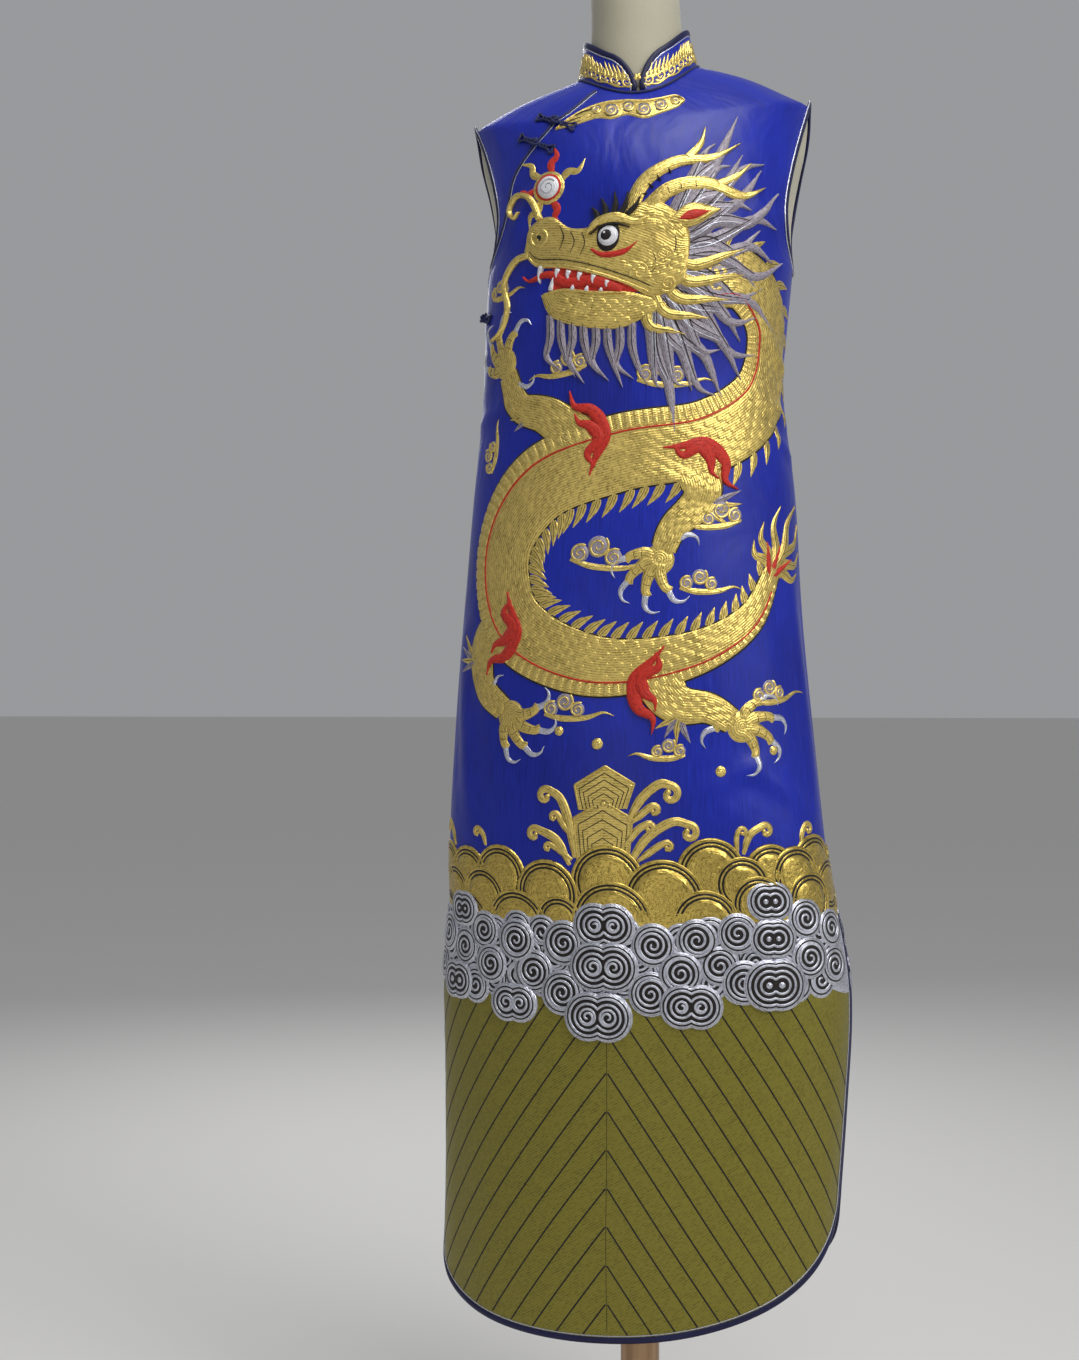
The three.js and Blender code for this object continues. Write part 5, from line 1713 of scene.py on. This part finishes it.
def makeBody(place):
    widths = dragonValues["bodyWidths"]
    line = smoothLine(dragonValues["body"], 0.004)
    finsAlong("dragon_gold", place, line, widths, 1, dragonValues["finPitch"], dragonValues["finLong"])
    stroke("dragon_lines", place, line, [w + 0.0030 for w in widths], 0.0010, 0.0, 10, 0.004, smooth=False)
    stroke("dragon_gold", place, line, widths, 0.0014, 0.0022, 12, 0.004, smooth=False)
    belly = dragonValues["bellyShare"]
    scalesAlong("dragon_scales", place, line, widths, dragonValues["scalePitch"], dragonValues["scaleWide"],
                0.0032, (-0.94 + 2 * belly, 0.94))
    # the belly's pale plates along the other side
    run = runOf(line)
    along = unit(np.gradient(line, axis=0))
    left = np.stack([-along[:, 1], along[:, 0]], axis=1)
    half = np.interp(run / run[-1], np.linspace(0, 1, len(widths)), widths) / 2
    middle = line - left * (half * (1 - belly))[:, None]
    for at in np.arange(0.006, run[-1] - 0.02, 0.0088):
        w = float(np.interp(at, run, half)) * belly * 1.9
        pick = [np.interp(at + d, run, middle[:, k]) for d in (-0.0040, 0.0, 0.0040) for k in (0, 1)]
        points = np.array(pick).reshape(3, 2)
        stroke("dragon_belly", place, points, w, 0.0032, 0.0006, 5, 0.0016)
    edge = line - left * (half * (1 - 2 * belly))[:, None]
    stroke("dragon_red", place, edge[2:-6], 0.0028, 0.0042, 0.0006, 3, 0.004, smooth=False)
    # tail flames
    tip, way = line[-1], along[-1]
    for number, (fan, long) in enumerate(((-1.15, 0.046), (-0.75, 0.062), (-0.35, 0.078), (0.02, 0.090),
                                          (0.40, 0.076), (0.80, 0.058), (1.20, 0.044))):
        c, s = math.cos(fan), math.sin(fan)
        out = np.array([way[0] * c - way[1] * s, way[0] * s + way[1] * c])
        side = np.array([-out[1], out[0]]) * (1 if fan < 0 else -1)
        base = tip - way * 0.012
        tongue("dragon_gold", place, [base, base + out * long * 0.35 + side * 0.005,
                                      base + out * long * 0.7 - side * 0.002, base + out * long + side * 0.007],
               0.0130, 0.0014 + 0.0002 * (3 - abs(number - 3)), "dragon_lines")
    for number, fan in enumerate((-0.5, 0.1, 0.6)):
        c, s = math.cos(fan), math.sin(fan)
        out = np.array([way[0] * c - way[1] * s, way[0] * s + way[1] * c])
        base = tip - way * 0.016
        tongue("dragon_red", place, [base, base + out * 0.020, base + out * 0.040], 0.0080, 0.0030)


def makeHead(place):
    size, turn = dragonValues["headSize"], dragonValues["headTurn"]

    def put(points):
        return moved(points, dragonValues["head"], turn, size)

    def line(name, points, wide, lift=0.0012, dome=0.0006, columns=3):
        widths = [w * size for w in wide] if isinstance(wide, (list, tuple)) else wide * size
        stroke(name, place, put(points), widths, lift, dome, columns, 0.0020)

    def shape(name, lower, upper, lift, dome=0.0010, columns=8):
        patch(name, place, put(lower), put(upper), lift, dome, columns, 0.0022)

    # mane, flowing back in long locks
    for number in range(26):
        a = math.radians(78 - number * 6.4)
        c, s = math.cos(a), math.sin(a)
        start = np.array([26 + 12 * c, 6 + 32 * s])
        long = 80 + 16 * math.sin(number * 1.9)
        sway = 9 if number % 2 else -7
        points = [start, start + np.array([c * long * 0.35 + 3, s * long * 0.35 + sway * 0.6]),
                  start + np.array([c * long * 0.70 + 8, s * long * 0.70 - sway * 0.8]),
                  start + np.array([c * long + 12, s * long + sway])]
        line("dragon_mane", points, [11, 14, 11, 7, 0.4], 0.0036 + 0.0003 * (number % 4), 0.0006)
        line("dragon_lines", [points[0] + [3, 2], points[1] + [0, 2.6], points[2] + [0, 1.6]], [1, 1.5, 0.6],
             0.0052, 0.0002, 2)
        line("dragon_silver", [points[0] + [3, -2], points[1] + [0, -2.2], points[2] + [0, -1.2]], [1, 1.4, 0.6],
             0.0052, 0.0002, 2)
    # horns
    for points, wide in (
            ([(-4, 44), (4, 70), (26, 88), (56, 96), (78, 112)], [13, 12, 10, 7, 0.5]),
            ([(34, 91), (44, 106), (46, 122)], [8, 6, 0.5]),
            ([(10, 48), (26, 66), (54, 74), (86, 70), (108, 82)], [14, 13, 11, 8, 0.5]),
            ([(62, 74), (78, 84), (90, 98)], [8, 6, 0.5])):
        line("dragon_belly", points, wide, 0.0050, 0.0012, 4)
    for points in ([(2, 58), (8, 60)], [(6, 68), (12, 65)], [(12, 76), (17, 71)], [(20, 83), (24, 78)],
                   [(22, 68), (26, 60)], [(32, 72), (35, 65)], [(44, 76), (46, 68)]):
        line("dragon_lines", [points[0], np.mean(points, axis=0), points[1]], 1.3, 0.0063, 0.0002, 2)
    # open mouth, tongue, lower jaw
    shape("dragon_red", [(-60, -26), (-30, -24), (-4, -22), (22, -16)],
          [(-60, -2), (-30, -6), (-2, -10), (22, -16)], 0.0040, 0.0)
    shape("dragon_gold", [(-66, -27), (-52, -44), (-22, -50), (12, -46), (40, -22)],
          [(-66, -27), (-46, -20), (-20, -21), (10, -18), (40, -22)], 0.0046, 0.0016)
    jawLine = smoothLine(put([(-50, -33), (-22, -36), (10, -34), (34, -26)]), 0.003)
    scalesAlong("dragon_scales", place, jawLine, [0.016, 0.030, 0.028, 0.010], 0.0068, 0.0086, 0.0066, (-0.9, 0.9))
    line("dragon_tongue", [(4, -18), (-22, -13), (-44, -16), (-62, -10), (-80, -16), (-88, -12)],
         [7, 10, 9, 8, 5, 0.5], 0.0066, 0.0010, 4)
    line("dragon_belly", [(-64, -27), (-46, -22), (-20, -22), (8, -19)], [2.4, 3.4, 3.4, 2.0], 0.0066, 0.0006)
    # upper head
    shape("dragon_gold", [(-90, 8), (-76, -4), (-50, -5), (-24, -8), (6, -14), (30, -20), (52, -4)],
          [(-90, 8), (-88, 28), (-70, 37), (-50, 28), (-28, 32), (-6, 48), (20, 54), (46, 36), (52, -4)],
          0.0056, 0.0024, 12)
    browLine = smoothLine(put([(-2, 36), (20, 40), (42, 30)]), 0.003)
    scalesAlong("dragon_scales", place, browLine, [0.012, 0.026, 0.018], 0.0068, 0.0086, 0.0078, (-0.9, 0.9))
    cheekLine = smoothLine(put([(-8, 2), (20, 0), (46, 10)]), 0.003)
    scalesAlong("dragon_scales", place, cheekLine, [0.010, 0.024, 0.030], 0.0068, 0.0086, 0.0076, (-0.9, 0.9))
    line("dragon_belly", [(-86, 4), (-74, -3), (-50, -3), (-24, -6), (6, -12), (26, -17)],
         [3, 4.4, 4.4, 4.4, 3.6, 2], 0.0072, 0.0008)
    line("dragon_lines", [(-86, 9), (-74, 2), (-50, 2), (-24, -1), (6, -7), (26, -12)], [1, 1.4, 1.4, 1.4, 1],
         0.0078, 0.0002, 2)
    # nostril, snout folds and cheek curls
    ring = spiralLine((-76, 20), 9.5, 2.2, 1.4, 2.6, 1)
    line("dragon_belly", ring, [4.2, 4.2, 4.0, 3.4], 0.0082, 0.0008)
    disc("dragon_lines", place, tuple(put([(-77, 19)])[0]), 3.2 * size, 0.0084, 0.0)
    for points in ([(-60, 30), (-54, 20), (-56, 8)], [(-50, 26), (-44, 17), (-46, 6)], [(-40, 26), (-35, 16), (-37, 5)],
                   [(30, 40), (38, 22), (34, 2)], [(20, 16), (26, 4), (18, -6)]):
        line("dragon_lines", points, [0.6, 1.5, 0.6], 0.0082, 0.0002, 2)
    for middle, radius, hand in (((30, 14), 9, 1), ((14, -2), 8, -1), ((38, -8), 7, 1)):
        line("dragon_belly", spiralLine(middle, radius, 1.6, 1.6, 3.9, hand), [4, 3.6, 3, 2.4], 0.0084, 0.0008)
    # eye under a heavy brow
    eye = (-17, 23)
    angle = np.arange(36) / 36 * 2 * math.pi
    lobed("dragon_lines", place, tuple(put([eye])[0]), size * (11.4 - 1.6 * np.cos(2 * angle)), 0.0086, 0.0)
    disc("dragon_white", place, tuple(put([eye])[0]), 8.6 * size, 0.0090, 0.0010)
    disc("dragon_lines", place, tuple(put([(eye[0] - 1.8, eye[1] + 0.6)])[0]), 4.9 * size, 0.0100, 0.0006)
    disc("dragon_white", place, tuple(put([(eye[0] - 3.6, eye[1] + 2.4)])[0]), 1.3 * size, 0.0107, 0.0003)
    for number, (x, high) in enumerate(((-36, 46), (-29, 54), (-19, 60), (-8, 61), (3, 58))):
        start = (-28 + number * 5.4, 34 + 1.5 * number)
        line("dragon_lines", [start, ((start[0] + x) / 2 + 2, (start[1] + high) / 2), (x, high)], [6, 5, 0.4],
             0.0086 + number * 0.0001, 0.0008)
    line("dragon_belly", [(-36, 22), (-28, 33), (-14, 38), (2, 36), (14, 42)], [3, 8, 9, 7, 1], 0.0104, 0.0010, 4)
    line("dragon_lines", [(-33, 22), (-25, 29.5), (-13, 33), (0, 31)], [1.4, 2.2, 2.2, 1.2], 0.0108, 0.0003, 2)
    line("dragon_red", [(-30, 12), (-18, 8), (-2, 12), (8, 22)], [3, 6, 6, 0.5], 0.0084, 0.0008)
    # ear
    shape("dragon_gold", [(26, 38), (48, 38), (70, 56)], [(26, 38), (42, 56), (70, 56)], 0.0084, 0.0010, 4)
    shape("dragon_red", [(34, 41), (48, 43), (62, 53)], [(34, 41), (44, 51), (62, 53)], 0.0096, 0.0004, 3)
    # teeth
    for x, z, tall in ((-70, -3, 15), (-54, -5, 9), (-44, -6, 8), (-34, -7, 8), (-22, -8, 8), (-10, -11, 7)):
        line("dragon_white", [(x, z + 1), (x - 0.6, z - tall * 0.5), (x + 1.2, z - tall)], [5.5, 4, 0.4], 0.0074,
             0.0008)
    for x, z, tall in ((-57, -24, 13), (-38, -23, 7), (-26, -23, 7), (-14, -22, 6)):
        line("dragon_white", [(x, z), (x, z + tall * 0.5), (x + 1.0, z + tall)], [5, 4, 0.4], 0.0072, 0.0008)
    # cheek flames, beard and whiskers
    for number, (ex, ez) in enumerate(((92, 22), (96, 2), (88, -20), (74, -38), (56, -54))):
        start = np.array([42 - number * 5, 12 - number * 9])
        end = np.array([ex, ez])
        bow = np.array([6, 9])
        tongue("dragon_gold", place, put([start, start * 0.6 + end * 0.4 - bow * 0.7,
                                          start * 0.25 + end * 0.75 + bow * 0.3, end + bow]), 0.0135,
               0.0058 - number * 0.0002, "dragon_lines")
    for number in range(8):
        x = -54 + number * 10
        points = [(x, -44 + abs(number - 3) * 0.8), (x + 4, -60), (x + (12 if number % 2 else 4), -76),
                  (x + (22 if number % 2 else 20), -86 - 4 * (number % 3))]
        line("dragon_mane", points, [7, 7.5, 5, 0.4], 0.0042, 0.0006)
        line("dragon_lines", points[:3], [0.8, 1.4, 0.5], 0.0050, 0.0002, 2)
    line("dragon_belly", [(-80, 34), (-92, 52), (-108, 56), (-116, 44), (-108, 36), (-102, 42)],
         [6, 6, 5, 5, 4, 0.5], 0.0078, 0.0008)
    line("dragon_belly", [(-84, 6), (-100, 0), (-110, -18), (-100, -38), (-104, -58), (-116, -66)],
         [6, 6, 5, 5, 4, 0.5], 0.0078, 0.0008)


def smallCloud(place, at, size, turn=0.0, mirror=False, thread="small_clouds"):
    turn = math.radians(turn)
    heads = [((-0.011, 0.000), 0.0090, 1), ((0.006, 0.008), 0.0105, -1), ((0.022, -0.001), 0.0085, 1)]
    tail = [(-0.020, -0.006), (0.004, -0.011), (0.032, -0.010), (0.052, -0.004), (0.066, -0.008)]
    stroke(thread, place, moved(tail, at, turn, size, mirror), [0.004, 0.007, 0.0065, 0.0045, 0.0004], 0.0009,
           0.0005)
    for middle, radius, hand in heads:
        middle = moved([middle], at, turn, size, mirror)[0]
        disc("cloud_blue", place, tuple(middle), radius * size, 0.0010, 0.0)
        line = spiralLine(middle, radius * size, 0.0014, 1.7, 1.0 + turn, hand)
        stroke(thread, place, line, [0.0034, 0.0034, 0.0028, 0.0022], 0.0013, 0.0006, 3, 0.0016)


def makePearl(place):
    x, z = dragonValues["pearl"]
    for number in range(6):
        a = math.radians(20 + number * 52)
        way = np.array([math.cos(a), math.sin(a)])
        side = np.array([-way[1], way[0]])
        base = np.array([x, z]) + way * 0.014
        tongue("dragon_red" if number % 2 else "dragon_belly", place,
               [base, base + way * 0.012 + side * 0.006, base + way * 0.022 + side * 0.002,
                base + way * 0.034 + side * 0.012], 0.0095, 0.0010)
    disc("dragon_belly", place, (x, z), 0.0185, 0.0016, 0.0006)
    disc("dragon_red", place, (x, z), 0.0155, 0.0024, 0.0004)
    disc("dragon_white", place, (x, z), 0.0130, 0.0030, 0.0014)
    stroke("dragon_silver", place, spiralLine((x, z), 0.0095, 0.0016, 1.6, 0.5, 1), 0.0018, 0.0044, 0.0004, 2, 0.0015)


# The dragon's layers are pressed flatter, as couched thread lies
def onDragon(across, height, lift):
    return onFront(across, height, np.asarray(lift) * dragonValues["relief"])


makeBody(onDragon)
for line, direction, mirror in dragonValues["legs"]:
    leg(onDragon, line, direction, mirror)
makeHead(onDragon)
makePearl(onDragon)
for at, size, turn, mirror in (
        ((0.028, 1.232), 1.0, 0, False), ((-0.060, 1.245), 0.8, 10, True), ((-0.035, 1.045), 1.1, -6, False),
        ((0.105, 1.085), 0.9, 6, True), ((0.075, 1.015), 0.8, 0, False), ((-0.060, 0.885), 0.9, 0, False),
        ((-0.165, 1.150), 0.7, 80, False), ((0.160, 0.900), 0.8, 8, False), ((0.060, 0.842), 0.7, 0, True),
        ((-0.168, 1.330), 0.7, 4, False)):
    smallCloud(onFront, at, size, turn, mirror)
print("dragon and small clouds stitched")

# Cloud scroll below the collar
scrollPoints = {
    "curls": [((-0.046, 1.5160), 0.0062, -1), ((-0.030, 1.5135), 0.0084, 1), ((-0.012, 1.5160), 0.0070, -1),
              ((0.004, 1.5110), 0.0086, 1), ((0.022, 1.5150), 0.0078, -1), ((0.037, 1.5195), 0.0058, 1)],
    "low": [(-0.091, 1.4975), (-0.066, 1.5020), (-0.046, 1.5070), (-0.030, 1.5040), (-0.014, 1.5075),
            (0.004, 1.5015), (0.020, 1.5060), (0.038, 1.5120), (0.048, 1.5200)],
    "high": [(-0.091, 1.4975), (-0.074, 1.5095), (-0.056, 1.5190), (-0.036, 1.5245), (-0.012, 1.5245),
             (0.006, 1.5225), (0.024, 1.5245), (0.038, 1.5265), (0.048, 1.5200)],
}
patch("neck_scroll", onFront, scrollPoints["low"], scrollPoints["high"], 0.0009, 0.0005, 6, 0.0025)
for line in (scrollPoints["low"], scrollPoints["high"]):
    stroke("neck_scroll", onFront, line, [0.0010, 0.0034, 0.0034, 0.0034, 0.0010], 0.0017, 0.0006, 3, 0.002)
for middle, radius, hand in scrollPoints["curls"]:
    disc("dragon_lines", onFront, middle, radius + 0.0007, 0.0013, 0.0)
    disc("neck_lilac", onFront, middle, radius - 0.0004, 0.0016, 0.0)
    stroke("neck_scroll", onFront, spiralLine(middle, radius - 0.0014, 0.0012, 1.6, 1.4 + hand, hand),
           [0.0036, 0.0036, 0.0032, 0.0026], 0.0019, 0.0006, 3, 0.0013)
for line in ([(-0.086, 1.5000), (-0.072, 1.5055), (-0.060, 1.5085)],
             [(-0.078, 1.5000), (-0.066, 1.5030), (-0.054, 1.5050)],
             [(-0.070, 1.5110), (-0.060, 1.5150), (-0.050, 1.5170)]):
    stroke("dragon_lines", onFront, line, [0.0004, 0.0011, 0.0004], 0.0020, 0.0002, 2, 0.002)


# Collar embroidery: low flames and small clouds along both halves
def onCollar(across, height, lift):
    points, outward = collarPlace(np.asarray(across) / 0.064, np.asarray(height), np.asarray(lift))
    return points


def collarBand():
    for half in (0, 1):
        def put(points):
            points = np.asarray(points, float)
            run = points[..., 0] if half == 0 else 2 * math.pi * 0.064 - points[..., 0]
            return np.stack([run, points[..., 1]], axis=-1)

        for number in range(14):
            x = 0.012 + number * 0.0140
            tall = 0.012 + 0.004 * math.sin(number * 2.1)
            if number == 0:
                tall = 0.006
            stroke("collar_gold", onCollar, put(spiralLine((x, 0.011), 0.0062, 0.0012, 1.5, 3.4, 1)),
                   [0.0034, 0.0034, 0.0028, 0.0020], 0.0008, 0.0005, 3, 0.0015)
            for lean in (-0.0065, -0.003, 0.0, 0.0035, 0.0068):
                tip = (x + 0.0030 + lean * 1.6, 0.0145 + tall)
                stroke("collar_gold", onCollar, put([(x + lean, 0.012), (x + lean * 1.5 - 0.0015, 0.018), tip]),
                       [0.0040, 0.0046, 0.0004], 0.0007, 0.0005, 3, 0.0018)
        wave = [(0.006 + k * 0.004, 0.0048 + 0.0010 * math.sin(k * 1.1)) for k in range(48)]
        stroke("collar_gold", onCollar, put(wave), [0.0022, 0.0022], 0.0008, 0.0004, 3, 0.0025)


collarBand()

threadMaterials = {
    "field_olive_front": oliveGold, "field_olive_back": oliveGold, "stripes_front": darkSilk,
    "stripes_back": darkSilk, "wave_gold": waveGold, "wave_lines": darkSilk, "cloud_silver": silver,
    "cloud_lines": darkSilk, "rock_gold": gold, "rock_lines": darkSilk, "spray_gold": gold,
    "gold_dots": paleGold, "dragon_gold": gold, "dragon_scales": gold, "dragon_belly": paleGold,
    "dragon_lines": darkSilk, "dragon_red": redSilk, "dragon_tongue": redSilk, "dragon_mane": lilacSilk,
    "dragon_silver": silver, "dragon_claws": silver, "dragon_white": whiteSilk, "small_clouds": paleGold,
    "cloud_blue": lilacSilk, "neck_scroll": paleGold, "neck_lilac": lilacSilk, "collar_gold": paleGold,
}
embroidery = [finishPiece(name, work, threadMaterials[name], weld=False)
              for name, work in threadWorks.items()]
total = sum(len(p.data.polygons) for p in madePieces.values())
print("embroidery pieces:", len(embroidery), "faces in all:", total)

# Bounding boxes of the frame's solids and of everything now shown
size = {"cad": [list(corner) for corner in cadBox], "visual": [list(corner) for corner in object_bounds()]}
